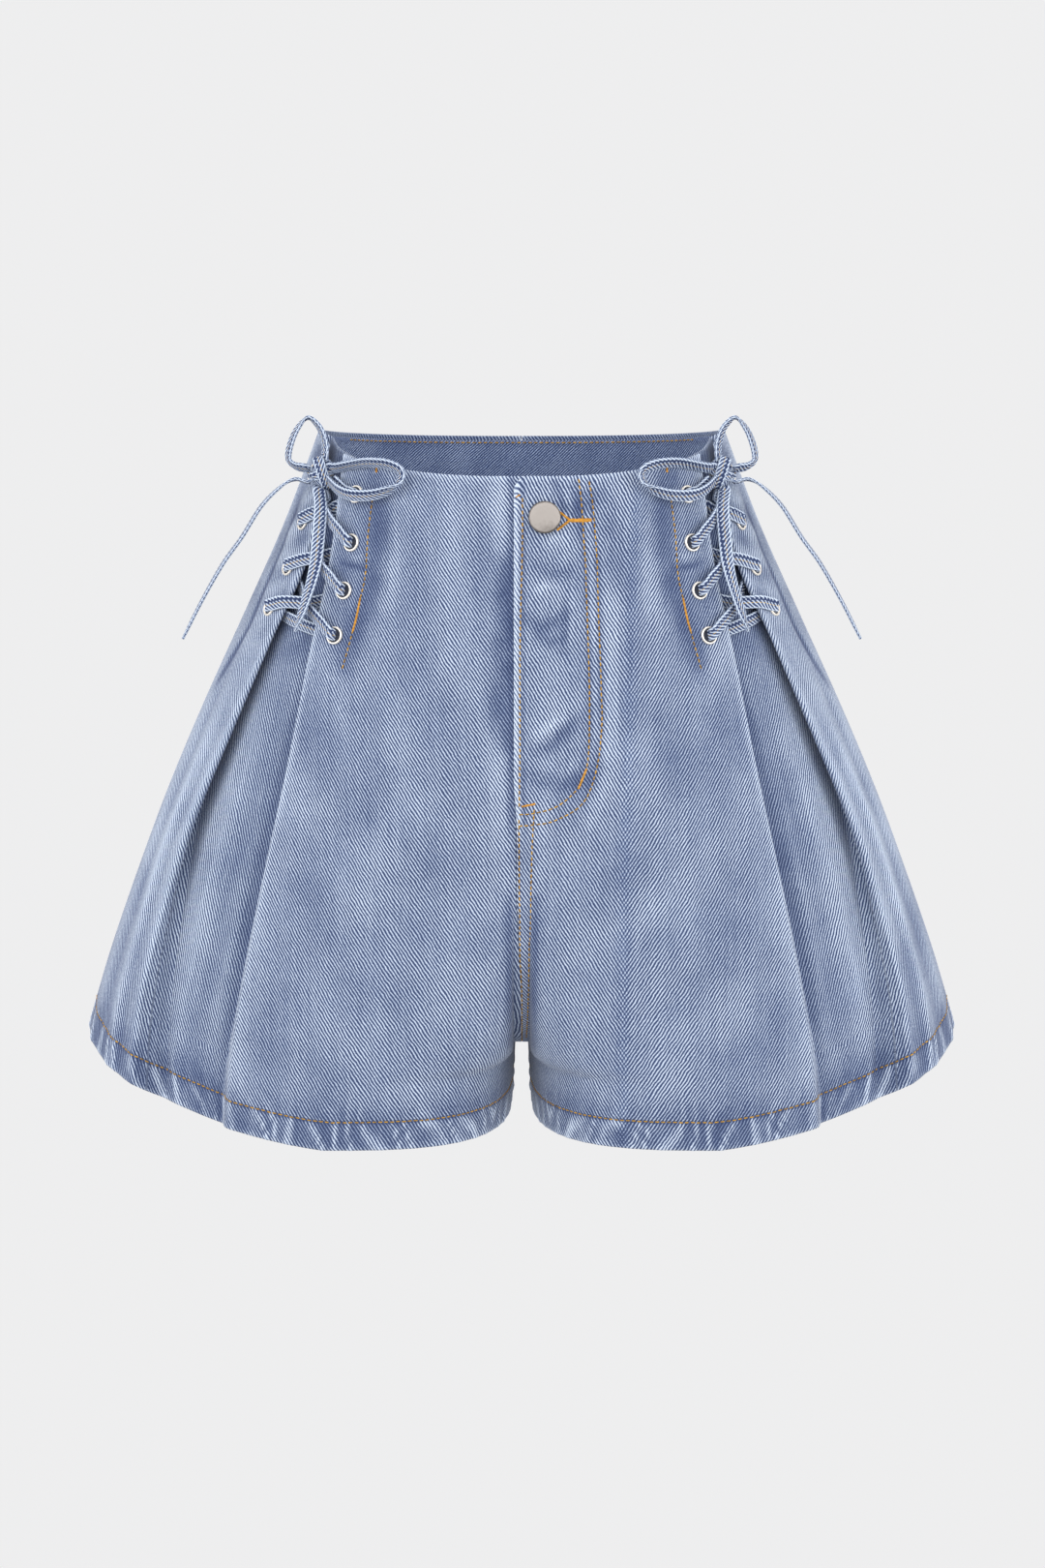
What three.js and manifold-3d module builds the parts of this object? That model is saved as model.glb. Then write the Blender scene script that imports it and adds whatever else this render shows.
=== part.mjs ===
import * as THREE from 'three';
import { mergeVertices } from 'three/addons/utils/BufferGeometryUtils.js';
import Module from 'manifold-3d';

// High-waisted denim shorts, wide in the leg, filled out and hollow, laced at both sides.
// Millimetres, +Z up, +X to the viewer's right, +Y to the back.
// The origin is the middle of the waist, at the height at which the waist is held.
// Right and left are the wearer's: the right side is at -X.

// Cloth and seams
const CLOTH = 1.3;
const HEM_CLOTH = 2.4;
const HEM_HEIGHT = 17.5;
const SEAM_GAP = 0.3;

// Heights of the waist edge and of the hem, at the middle of the front and back and at the sides
const WAIST = { front: -13, back: -2, side: 7.5 };
const HEM = { front: -387, back: -380, side: -338 };

// The garment's cross section at several heights, given by the share of the way down.
// half: half the width. front and back: depth from the middle plane. middle: where a leg is deepest.
const BODY = [
  { down: 0.00, half: 115.5, front: 84, back: 84, middle: 14 },
  { down: 0.15, half: 135.5, front: 91, back: 95, middle: 20 },
  { down: 0.30, half: 159.0, front: 97, back: 107, middle: 32 },
  { down: 0.45, half: 183.0, front: 102, back: 113, middle: 50 },
  { down: 0.60, half: 205.3, front: 105.5, back: 114, middle: 70 },
  { down: 0.75, half: 225.0, front: 108, back: 112, middle: 88 },
  { down: 0.88, half: 240.8, front: 110, back: 110, middle: 102 },
  { down: 1.00, half: 253.5, front: 111, back: 108, middle: 110 },
];

// The pleat at each side of the front, at the same heights.
// frontFold and rearFold: its two edges, as distances from the centre plane.
// under: how far the cloth runs back beneath each edge. turn: radius of the fold at each edge.
// deep: how far in the bottom of the pleat lies.
const PLEAT = [
  { down: 0.00, frontFold: 100.3, rearFold: 110.5, under: 20.5, turn: 1.65, deep: 8 },
  { down: 0.15, frontFold: 107.5, rearFold: 119.6, under: 20.5, turn: 1.65, deep: 8 },
  { down: 0.30, frontFold: 119.6, rearFold: 143.1, under: 20.5, turn: 1.65, deep: 8 },
  { down: 0.45, frontFold: 130.8, rearFold: 166.7, under: 18, turn: 2.0, deep: 10 },
  { down: 0.60, frontFold: 143.3, rearFold: 189.5, under: 16, turn: 2.5, deep: 12.5 },
  { down: 0.75, frontFold: 155.4, rearFold: 205.9, under: 13, turn: 3.1, deep: 15 },
  { down: 0.88, frontFold: 164.2, rearFold: 217.0, under: 9.5, turn: 3.6, deep: 17 },
  { down: 1.00, frontFold: 168.0, rearFold: 220.5, under: 6.5, turn: 4.0, deep: 18 },
];
const SHAPE = BODY.map((row, at) => ({ ...row, ...PLEAT[at] }));

// The crotch: where the legs part, and where each rise starts to turn under
const CROTCH = 0.895;
const RISE = { front: { start: 0.45, power: 2.8 }, back: { start: 0.35, power: 2.2 } };
// Half the gap between the legs, at the crotch and at the hem, and how soon it opens
const INNER = { crotch: 4.5, hem: 5.5, opens: 0.01 };
// A leg's inner front and inner back corners are those of a superellipse with this exponent
const LEG_CORNER = 3;

// The fly: the left front laps over the right one, and both lie over a shield.
// raise: how far it is lifted over the other front, down to the foot. fade and settle: how gradually.
// seam: how far the lapped seam below it stands over, until it dies away between two heights.
const FLY = {
  edge: 4.5, underlap: 4, raise: 1.6, blend: 12, corner: 6.5,
  foot: 0.5, fade: [-0.06, 0.01], settle: [0.02, 0.08], seam: 3, seamEnds: [0.6, 0.8],
};
const SHIELD = { right: 14, left: 40, depth: 1.6, top: 0.012, foot: 0.5 };
const FACING = { depth: 1.9, top: 0.006, foot: 0.125 };
const BUTTON = { along: 12.6, down: 0.06, radius: 8.9, shank: 3.2, hole: 4.2 };
// How far each way the holes are cut from the cloth's face
const HOLE_REACH = { eyelet: 5.5, button: 3 };

// Eyelets: four on each edge of each pleat
const EYELET_LEVELS = [0.050, 0.120, 0.190, 0.256];
const EYELET_INSET = { front: 15, rear: 12.5 };
// base: height of its flange over the cloth. lip: how far it stands up. behind: reach of its barrel inwards.
const EYELET = { bore: 3.75, barrel: 4.3, flange: 5.1, hole: 4.7, base: 0.3, lip: 1.0, behind: -3.7 };

// The lace is a flat tape; it bunches up in the eyelets
const LACE = { wide: 7, thick: 1.6, bunchedWide: 4.2, bunchedThick: 2.4 };
const LACE_SIDES = 8;
const MERGE = 1e-4;

const wasm = await Module();
wasm.setup();

const MATERIALS = {
  denim: new THREE.MeshStandardMaterial({ color: 0x93a6cb, roughness: 0.92, metalness: 0 }),
  inside: new THREE.MeshStandardMaterial({ color: 0x5f6c9c, roughness: 0.95, metalness: 0 }),
  tape: new THREE.MeshStandardMaterial({ color: 0xa5b6d6, roughness: 0.9, metalness: 0 }),
  button: new THREE.MeshStandardMaterial({ color: 0xa39d96, roughness: 0.45, metalness: 0.9 }),
  eyelet: new THREE.MeshStandardMaterial({ color: 0xd9cfc0, roughness: 0.3, metalness: 0.9 }),
};

function mix(a, b, share) {
  return a + (b - a) * share;
}

function smooth(value, low, high) {
  return THREE.MathUtils.smoothstep(value, low, high);
}

// The value of one column of the shape table, on a smooth curve through its rows
function shape(name, down) {
  const last = SHAPE.length - 1;
  const row = Math.min(SHAPE.findLastIndex((item) => item.down <= Math.max(down, 0)), last - 1);
  const slope = (at) => {
    const before = SHAPE[Math.max(at - 1, 0)];
    const after = SHAPE[Math.min(at + 1, last)];
    return (after[name] - before[name]) / (after.down - before.down);
  };
  const [start, end] = [SHAPE[row], SHAPE[row + 1]];
  const span = end.down - start.down;
  const t = (down - start.down) / span;
  const bend = t * t * (3 - 2 * t);
  const leave = t * (1 - t) * (1 - t) * span * slope(row);
  const arrive = t * t * (t - 1) * span * slope(row + 1);
  return mix(start[name], end[name], bend) + leave + arrive;
}

// Depth of the middle seam or, below the crotch, of the inner leg seam
function seamDepth(cut, down) {
  const rise = RISE[cut];
  const t = THREE.MathUtils.clamp((down - rise.start) / (CROTCH - rise.start), 0, 1);
  const depth = shape(cut, down) * Math.pow(1 - Math.pow(t, rise.power), 1 / rise.power);
  return Math.max(depth, SEAM_GAP / 2);
}

function innerAt(down) {
  return mix(INNER.crotch, INNER.hem, smooth(down, CROTCH, 1));
}

// Each level rises from the front or back to the side seam, evenly at the waist, sooner at the hem
const HEM_RISE = 0.6;

function heightAt(cut, down, y, outer) {
  const own = mix(WAIST[cut], HEM[cut], down);
  const reach = Math.min(Math.abs(y) / shape(cut, down), 1);
  if (outer) {
    const rise = Math.pow(1 - reach, mix(1, HEM_RISE, down));
    return mix(own, mix(WAIST.side, HEM.side, down), rise);
  }
  const between = mix((WAIST.front + WAIST.back) / 2, (HEM.front + HEM.back) / 2, down);
  return mix(between, own, reach);
}

// One half's outline at a height, from its inner corner round the leg to the side seam.
// Distances along it start at the inner corner; x is measured outwards from the centre plane.
const SECTION_STEPS = 24;
const sections = new Map();

function section(cut, down) {
  const key = `${cut} ${down.toFixed(5)}`;
  if (sections.has(key)) return sections.get(key);
  const side = cut === 'front' ? -1 : 1;
  const inner = innerAt(down);
  const seam = seamDepth(cut, down);
  const depth = shape(cut, down);
  const middle = shape('middle', down);
  const half = shape('half', down);
  const points = [];
  for (let step = 0; step <= SECTION_STEPS; step++) {
    const angle = (step / SECTION_STEPS) * (Math.PI / 2);
    const x = middle - (middle - inner) * Math.pow(Math.max(Math.cos(angle), 0), 2 / LEG_CORNER);
    const y = side * mix(seam, depth, Math.pow(Math.sin(angle), 2 / LEG_CORNER));
    points.push(new THREE.Vector3(x, y, heightAt(cut, down, y, false)));
  }
  for (let step = 1; step <= SECTION_STEPS; step++) {
    const angle = (step / SECTION_STEPS) * (Math.PI / 2);
    const x = middle + (half - middle) * Math.sin(angle);
    const y = side * Math.max(depth * Math.cos(angle), SEAM_GAP / 2);
    points.push(new THREE.Vector3(x, y, heightAt(cut, down, y, true)));
  }
  const lengths = [0];
  for (let at = 1; at < points.length; at++) {
    lengths.push(lengths[at - 1] + points[at].distanceTo(points[at - 1]));
  }
  const alongTo = (x) => {
    const at = points.findIndex((point, index) => index > SECTION_STEPS && point.x >= x);
    const share = (x - points[at - 1].x) / (points[at].x - points[at - 1].x);
    return mix(lengths[at - 1], lengths[at], share);
  };
  const made = { points, lengths, side: lengths.at(-1) };
  made.front = alongTo(shape('frontFold', down));
  made.rear = alongTo(shape('rearFold', down));
  sections.set(key, made);
  return made;
}

function onSection(cut, down, along) {
  const { points, lengths } = section(cut, down);
  if (along <= 0) return points[0].clone().add(new THREE.Vector3(along, 0, 0));
  const found = lengths.findIndex((length) => length >= along);
  const at = found < 1 ? lengths.length - 1 : found;
  const share = (along - lengths[at - 1]) / (lengths[at] - lengths[at - 1]);
  return points[at - 1].clone().lerp(points[at], share);
}

// The direction out of the cloth's face at a place on the outline
const NEAR_ALONG = 1.5;
const NEAR_DOWN = 0.004;

function outwards(cut, down, along) {
  const above = Math.max(down - NEAR_DOWN, 0);
  const below = Math.min(down + NEAR_DOWN, 1);
  const across = onSection(cut, down, along + NEAR_ALONG).sub(onSection(cut, down, along - NEAR_ALONG));
  const downwards = onSection(cut, below, along).sub(onSection(cut, above, along));
  const normal = across.cross(downwards);
  if (cut === 'front') normal.negate();
  return normal.normalize();
}

// A point at a depth under the cloth's face. A seam's edge keeps its cut in the seam's own plane.
function placed(cut, down, along, depth) {
  const normal = outwards(cut, down, along);
  const point = onSection(cut, down, along);
  if (Math.abs(point.x) <= SEAM_GAP) normal.x = 0;
  if (Math.abs(point.y) <= SEAM_GAP) normal.y = 0;
  return point.addScaledVector(normal.normalize(), -depth);
}

// Points worked out on one half, moved to the wearer's right or left
function onSide(point, left) {
  return left ? point : new THREE.Vector3(-point.x, point.y, point.z);
}

function signedVolume(positions, index) {
  const corners = [new THREE.Vector3(), new THREE.Vector3(), new THREE.Vector3()];
  let total = 0;
  for (let face = 0; face < index.length; face += 3) {
    corners.forEach((corner, at) => corner.fromArray(positions, index[face + at] * 3));
    total += corners[0].dot(corners[1].cross(corners[2])) / 6;
  }
  return total;
}

// A closed geometry whose faces point outwards
function closed(positions, index) {
  const facing = [...index];
  if (signedVolume(positions, index) < 0) {
    for (let face = 0; face < facing.length; face += 3) {
      [facing[face + 1], facing[face + 2]] = [facing[face + 2], facing[face + 1]];
    }
  }
  const geometry = new THREE.BufferGeometry();
  geometry.setAttribute('position', new THREE.Float32BufferAttribute(positions, 3));
  geometry.setIndex(facing);
  return geometry;
}

function quad(a, b, c, d) {
  return [a, b, c, a, c, d];
}

// A wall of cloth from rows of pairs: a point on its face and the point behind it
function wall(rows) {
  const across = rows[0].length;
  const behind = rows.length * across;
  const positions = [];
  for (const layer of ['face', 'back']) {
    for (const row of rows) {
      for (const pair of row) positions.push(...pair[layer].toArray());
    }
  }
  const index = [];
  for (let row = 0; row + 1 < rows.length; row++) {
    for (let column = 0; column + 1 < across; column++) {
      const at = row * across + column;
      const face = quad(at, at + across, at + across + 1, at + 1);
      index.push(...face, ...face.toReversed().map((corner) => corner + behind));
    }
  }
  const rim = [];
  for (let column = 0; column < across - 1; column++) rim.push(column);
  for (let row = 0; row < rows.length - 1; row++) rim.push(row * across + across - 1);
  for (let column = across - 1; column > 0; column--) rim.push((rows.length - 1) * across + column);
  for (let row = rows.length - 1; row > 0; row--) rim.push(row * across);
  rim.forEach((corner, at) => {
    const next = rim[(at + 1) % rim.length];
    index.push(...quad(corner, next, next + behind, corner + behind));
  });
  return closed(positions, index);
}

function solid(geometry) {
  const shared = geometry.clone();
  shared.deleteAttribute('normal');
  shared.deleteAttribute('uv');
  const merged = mergeVertices(shared, MERGE);
  return new wasm.Manifold(new wasm.Mesh({
    numProp: 3,
    vertProperties: new Float32Array(merged.attributes.position.array),
    triVerts: new Uint32Array(merged.index.array),
  }));
}

function fromSolid(manifold) {
  const mesh = manifold.getMesh();
  return closed(Array.from(mesh.vertProperties), Array.from(mesh.triVerts));
}

function mesh(name, geometry, material) {
  const made = new THREE.Mesh(geometry, material.clone());
  made.name = name;
  return made;
}

// Rows of the panels, as shares of the way down
const HEM_START = 1 - HEM_HEIGHT / (WAIST.front - HEM.front);
const PANEL_ROWS = [
  0, 0.06, 0.13, 0.20, 0.28, 0.36, 0.44, 0.50, 0.55, 0.62, 0.70, 0.77, 0.83, 0.87,
  CROTCH, CROTCH + 0.012, HEM_START - 0.004, HEM_START, 1,
];

function clothAt(down) {
  return down >= HEM_START ? HEM_CLOTH : CLOTH;
}

function evenly(from, to, count) {
  return Array.from({ length: count + 1 }, (_, at) => mix(from, to, at / count));
}

// Where a panel's inner edge is: negative distances reach past the corner, across the centre plane
function innerEdge(down, past) {
  const butt = SEAM_GAP / 2 + past;
  const opened = mix(butt, innerAt(down), smooth(down, CROTCH, CROTCH + INNER.opens));
  return opened - innerAt(down);
}

// A panel's first strip runs from its edge to the corner, or a little way where there is no corner
function stripEnd(edge) {
  return edge < -0.1 ? 0 : edge + NEAR_ALONG;
}

function seamShift(down) {
  return FLY.seam * (1 - smooth(down, ...FLY.seamEnds));
}

function frontEdge(down, left) {
  const inFly = 1 - smooth(down, FLY.foot + FLY.fade[0], FLY.foot + FLY.fade[1]);
  if (left) return innerEdge(down, mix(-seamShift(down), -FLY.edge, inFly));
  return innerEdge(down, mix(seamShift(down), -FLY.underlap, inFly));
}

function flyRaise(down, along, left) {
  if (!left) return 0;
  const x = along + innerAt(down);
  const across = 1 - smooth(x, FLY.edge, FLY.edge + FLY.blend);
  return FLY.raise * across * (1 - smooth(down, FLY.foot + FLY.settle[0], FLY.foot + FLY.settle[1]));
}

// How many columns of faces each part of a panel has
const SPANS = { front: 10, pleat: 3, side: 4, back: 13 };
const FOLD_STEPS = 3;

// Points round a fold, from one layer to the next, as distance and depth for the face and the back
function fold(centre, depth, faceRadius, backRadius, away, downwards, steps) {
  return evenly(0, Math.PI, steps).slice(1, -1).map((angle) => {
    const point = (radius) => [
      centre + away * radius * Math.sin(angle),
      depth - downwards * radius * Math.cos(angle),
    ];
    return { face: point(faceRadius), back: point(backRadius) };
  });
}

// A front's path at a height: flat to the front edge of the pleat, folded back under it,
// across the bottom of the pleat, forward under the rear edge, and flat to the side seam
function frontPath(down, left) {
  const { front, rear, side } = section('front', down);
  const [under, turn, deep] = ['under', 'turn', 'deep'].map((name) => shape(name, down));
  const cloth = clothAt(down);
  const back = 2 * turn;
  const lower = (deep - back) / 2;
  const flat = (places, face, behind) => places.map((along) => (
    { face: [along, face], back: [along, behind] }
  ));
  const edge = frontEdge(down, left);
  const strip = stripEnd(edge);
  const inside = [edge, mix(edge, strip, 0.4), ...evenly(strip, front - turn, SPANS.front)].map((along) => {
    const raise = flyRaise(down, along, left);
    return { face: [along, -raise], back: [along, cloth - raise] };
  });
  return [
    ...inside,
    ...fold(front - turn, turn, turn, turn - cloth, 1, 1, FOLD_STEPS),
    ...flat([front - turn, front - under], back, back - cloth),
    ...fold(front - under, (back + deep) / 2, lower, lower + cloth, -1, 1, FOLD_STEPS),
    ...flat(evenly(front - under, rear + under, SPANS.pleat), deep, deep + cloth),
    ...fold(rear + under, (back + deep) / 2, lower, lower + cloth, 1, -1, FOLD_STEPS),
    ...flat([rear + under, rear + turn], back, back - cloth),
    ...fold(rear + turn, turn, turn, turn - cloth, -1, -1, FOLD_STEPS),
    ...flat(evenly(rear + turn, side, SPANS.side), 0, cloth),
  ];
}

// Towards the hem the bottom of the pleat hangs level with the front's own hem line, and lower still
// by a share of its depth. from: where that starts, as a share of the way down. depth: where it is whole.
const PLEAT_HANG = { share: 0.2, from: 0.45, depth: 8 };

// The height of the front's plain surface at a distance from the centre plane
function levelAt(x, down) {
  const middle = shape('middle', down);
  const share = THREE.MathUtils.clamp((x - middle) / (shape('half', down) - middle), 0, 1);
  return heightAt('front', down, Math.sqrt(1 - share * share) * shape('front', down), true);
}

function hungHeight(made, down, depth) {
  const cloth = clothAt(down);
  const sunk = smooth(depth, cloth, PLEAT_HANG.depth) * smooth(down, PLEAT_HANG.from, 1);
  const lower = PLEAT_HANG.share * Math.max(depth - cloth, 0) * down * down;
  return mix(made.z, levelAt(made.x, down), sunk) - lower;
}

// The lapping front's top corner is rounded: how far down its waist edge starts there
function cornerStart(down, along) {
  const near = Math.max(1 - (along - frontEdge(down, true)) / FLY.corner, 0);
  const drop = FLY.corner * near * near / (WAIST.front - HEM.front);
  return mix(drop, 0, smooth(down, 0, PANEL_ROWS[1]));
}

function frontPanel(left) {
  const rows = PANEL_ROWS.map((down) => {
    const point = ([along, depth]) => {
      const start = left ? cornerStart(down, along) : 0;
      const made = placed('front', down + start, along, depth);
      made.z = hungHeight(made, down, depth);
      return onSide(made, left);
    };
    return frontPath(down, left).map(({ face, back }) => ({ face: point(face), back: point(back) }));
  });
  return wall(rows);
}

function backPath(down) {
  const { side } = section('back', down);
  const edge = innerEdge(down, 0);
  return [edge, ...evenly(stripEnd(edge), side, SPANS.back)];
}

function backPanel(left) {
  const rows = PANEL_ROWS.map((down) => {
    const point = (along, depth) => onSide(placed('back', down, along, depth), left);
    return backPath(down).map((along) => ({ face: point(along, 0), back: point(along, clothAt(down)) }));
  });
  return wall(rows);
}

// A plain layer inside the waist, from one side of the centre plane to the other
function innerLayer(cut, rightReach, leftReach, top, foot, depth, levels, steps) {
  return wall(evenly(top, foot, levels).map((down) => (
    evenly(-rightReach(down), leftReach(down), steps).map((x) => {
      const point = (under) => onSide(placed(cut, down, Math.abs(x) - innerAt(down), under), x >= 0);
      return { face: point(depth), back: point(depth + CLOTH) };
    })
  )));
}

function standing(geometry, cut, down, along, left) {
  const normal = outwards(cut, down, along);
  const outward = onSide(normal, left);
  const turned = new THREE.Quaternion().setFromUnitVectors(new THREE.Vector3(0, 1, 0), outward);
  const at = onSide(onSection(cut, down, along), left);
  return geometry.applyMatrix4(new THREE.Matrix4().compose(at, turned, new THREE.Vector3(1, 1, 1)));
}

function turnedSolid(profile, segments) {
  const points = profile.map(([radius, height]) => new THREE.Vector2(radius, height));
  const lathe = new THREE.LatheGeometry(points, segments);
  lathe.deleteAttribute('normal');
  lathe.deleteAttribute('uv');
  const merged = mergeVertices(lathe, MERGE);
  const index = Array.from(merged.index.array);
  const kept = [];
  for (let face = 0; face < index.length; face += 3) {
    const [a, b, c] = index.slice(face, face + 3);
    if (a !== b && b !== c && c !== a) kept.push(a, b, c);
  }
  return closed(Array.from(merged.attributes.position.array), kept);
}

function eyeletAlong(strip, down) {
  const { front, rear } = section('front', down);
  return strip === 'front' ? front - EYELET_INSET.front : rear + EYELET_INSET.rear;
}

const CUTTER_SEGMENTS = 10;

function punched(geometry, holes, left) {
  let body = solid(geometry);
  for (const { down, along, radius, reach } of holes) {
    const cutter = new THREE.CylinderGeometry(radius, radius, reach * 2, CUTTER_SEGMENTS);
    standing(cutter, 'front', down, along, left);
    body = body.subtract(solid(cutter));
  }
  return fromSolid(body);
}

function eyeletHoles() {
  return EYELET_LEVELS.flatMap((down) => ['front', 'rear'].map((strip) => ({
    down, along: eyeletAlong(strip, down), radius: EYELET.hole, reach: HOLE_REACH.eyelet,
  })));
}

function buttonAlong() {
  return BUTTON.along - innerAt(BUTTON.down);
}

// A lace is a loft of its flat section along stations, each with a place and a direction of its width
function tape(stations) {
  const count = stations.length;
  const positions = [];
  stations.forEach((station, at) => {
    const ahead = stations[Math.min(at + 1, count - 1)].at;
    const before = stations[Math.max(at - 1, 0)].at;
    const along = ahead.clone().sub(before).normalize();
    const across = station.across.clone().addScaledVector(along, -station.across.dot(along)).normalize();
    const up = along.clone().cross(across);
    for (let corner = 0; corner < LACE_SIDES; corner++) {
      const angle = ((corner + 0.5) / LACE_SIDES) * 2 * Math.PI;
      const sideways = Math.cos(angle) / Math.cos(Math.PI / LACE_SIDES) * station.wide / 2;
      const upwards = Math.sin(angle) / Math.cos(Math.PI / LACE_SIDES) * station.thick / 2;
      const point = station.at.clone().addScaledVector(across, sideways).addScaledVector(up, upwards);
      positions.push(...point.toArray());
    }
  });
  const index = [];
  for (let ring = 0; ring + 1 < count; ring++) {
    for (let corner = 0; corner < LACE_SIDES; corner++) {
      const next = (corner + 1) % LACE_SIDES;
      const [low, high] = [ring * LACE_SIDES, (ring + 1) * LACE_SIDES];
      index.push(...quad(low + corner, low + next, high + next, high + corner));
    }
  }
  const last = (count - 1) * LACE_SIDES;
  for (let corner = 1; corner + 1 < LACE_SIDES; corner++) {
    index.push(0, corner + 1, corner, last, last + corner, last + corner + 1);
  }
  return closed(positions, index);
}

// The knot, the two loops of the bow and its two tails. x is measured outwards from the centre plane.
// Each piece leaves the knot in one direction, and a loop comes back to it in another.
// wx, wy and wz give the direction of the tape's width.
const KNOT = new THREE.Vector3(111.2, -41, -14.5);
const KNOT_SIZE = new THREE.Vector3(7.4, 5.0, 9.2);
// Each tape ends this far off the knot, after a short straight run square to it
const KNOT_GAP = 0.3;
const KNOT_RUN = 2.2;
const KNOT_SEGMENTS = 12;
const KNOT_RINGS = 8;
const BOW = {
  bow_up: {
    leaves: [-0.15, -0.3, 1], width: [-0.45, -0.85, 0.2],
    rows: [
      { x: 110.0, y: -43.0, z: 2.5, wx: -0.45, wy: -0.85, wz: 0.2 },
      { x: 113.4, y: -39.5, z: 11.0, wx: -0.4, wy: -0.9, wz: 0.1 },
      { x: 119.6, y: -36.0, z: 15.6, wx: -0.3, wy: -0.95, wz: 0.2 },
      { x: 126.0, y: -33.0, z: 9.5, wx: -0.4, wy: -0.9, wz: 0.1 },
      { x: 130.2, y: -31.5, z: 0.0, wx: -0.45, wy: -0.85, wz: 0.1 },
      { x: 131.0, y: -32.0, z: -7.5, wx: -0.4, wy: -0.9, wz: 0.1 },
      { x: 126.8, y: -35.0, z: -11.2, wx: -0.1, wy: -0.9, wz: 0.5 },
    ],
    returns: [1, 0.1, 0.25], end: [0, -0.8, 0.6],
  },
  bow_side: {
    leaves: [-0.75, -1, 0.4], width: [0, -0.8, 0.6],
    rows: [
      { x: 102.8, y: -51.6, z: -10.6, wx: 0, wy: -0.8, wz: 0.6 },
      { x: 96.3, y: -57.2, z: -9.0, wx: 0, wy: -0.8, wz: 0.6 },
      { x: 86.0, y: -66.0, z: -6.9, wx: -0.2, wy: -0.8, wz: 0.6 },
      { x: 75.0, y: -74.0, z: -7.0, wx: -0.4, wy: -0.8, wz: 0.5 },
      { x: 67.2, y: -79.5, z: -9.8, wx: -0.5, wy: -0.8, wz: 0.3 },
      { x: 66.4, y: -80.5, z: -14.8, wx: -0.5, wy: -0.8, wz: 0 },
      { x: 72.0, y: -79.5, z: -20.2, wx: -0.3, wy: -0.7, wz: 0.6 },
      { x: 82.3, y: -75.5, z: -23.9, wx: -0.1, wy: -0.6, wz: 0.8 },
      { x: 94.5, y: -68.5, z: -24.6, wx: 0, wy: -0.5, wz: 0.85 },
      { x: 102.0, y: -59.5, z: -22.5, wx: 0, wy: -0.6, wz: 0.8 },
    ],
    returns: [-0.5, -1, -0.5], end: [0, -0.7, 0.7],
  },
  tail_long: {
    leaves: [1, -0.15, -0.5], width: [-0.1, -1, 0.2],
    rows: [
      { x: 127.4, y: -37.0, z: -18.6, wx: -0.1, wy: -1, wz: 0.2 },
      { x: 135.7, y: -33.5, z: -23.0, wx: -0.2, wy: -1, wz: 0.1 },
      { x: 146.9, y: -30.0, z: -34.1, wx: -0.2, wy: -1, wz: 0 },
      { x: 158.3, y: -28.0, z: -51.8, wx: -0.2, wy: -1, wz: 0 },
      { x: 169.6, y: -26.0, z: -67.4, wx: -0.2, wy: -1, wz: 0 },
      { x: 182.2, y: -24.0, z: -89.1, wx: -0.15, wy: -1, wz: 0 },
      { x: 193.2, y: -22.0, z: -110.4, wx: -0.1, wy: -1, wz: 0 },
    ],
  },
  tail_short: {
    leaves: [0.25, -0.5, -1], width: [-1, 0.1, 0],
    rows: [
      { x: 112.2, y: -52.5, z: -34.0, wx: -1, wy: 0.1, wz: 0 },
      { x: 113.4, y: -59.0, z: -51.8, wx: -1, wy: 0, wz: 0 },
      { x: 114.9, y: -63.0, z: -64.9, wx: -0.9, wy: -0.4, wz: 0 },
      { x: 119.2, y: -66.6, z: -80.9, wx: -0.7, wy: -0.7, wz: 0 },
      { x: 126.2, y: -68.6, z: -100.6, wx: -0.4, wy: -0.9, wz: 0 },
    ],
  },
};

// Two points off the knot, nearest first, in a direction given in the knot's own radii
function offKnot(direction) {
  const toward = new THREE.Vector3(...direction).normalize();
  const normal = toward.clone().divide(KNOT_SIZE).normalize();
  const surface = KNOT.clone().add(toward.multiply(KNOT_SIZE));
  return [KNOT_GAP, KNOT_GAP + KNOT_RUN].map((away) => surface.clone().addScaledVector(normal, away));
}

function bowPiece({ leaves, width, rows, returns, end }, left) {
  const stations = rows.map(({ x, y, z, wx, wy, wz }) => [new THREE.Vector3(x, y, z), [wx, wy, wz]]);
  stations.unshift(...offKnot(leaves).map((at) => [at, width]));
  if (returns) stations.push(...offKnot(returns).toReversed().map((at) => [at, end]));
  return tape(stations.map(([at, across]) => ({
    at: onSide(at, left),
    across: onSide(new THREE.Vector3(...across), left),
    wide: LACE.wide,
    thick: LACE.thick,
  })));
}

function knot(left) {
  const ball = new THREE.SphereGeometry(1, KNOT_SEGMENTS, KNOT_RINGS);
  ball.scale(...KNOT_SIZE.toArray());
  ball.translate(...onSide(KNOT, left).toArray());
  return fromSolid(solid(ball));
}

// One crossing of the lace, from an eyelet over its own edge and under the other edge.
// part: inset on a strip, or share of the gap. level: share of the way to the next eyelet up.
// depth: from the cloth's face inwards. bunch: how far the tape is bunched up.
const CROSSING = [
  { on: 'own', part: 1.00, level: 0.00, depth: 5.5, bunch: 0.4 },
  { on: 'own', part: 1.00, level: 0.00, depth: 1.6, bunch: 1 },
  { on: 'own', part: 0.92, level: 0.02, depth: -3.0, bunch: 0.7 },
  { on: 'own', part: 0.55, level: 0.14, depth: -2.7, bunch: 0 },
  { on: 'own', part: -0.04, level: 0.31, depth: -1.9, bunch: 0 },
  { on: 'gap', part: 0.50, level: 0.49, depth: 0.6, bunch: 0 },
  { on: 'other', part: -0.35, level: 0.61, depth: 5.4, bunch: 0 },
  { on: 'other', part: 0.60, level: 0.86, depth: 5.5, bunch: 0 },
];
// How much deeper the second run lies where the two cross
const CROSSING_DEEPER = 3.2;
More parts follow.
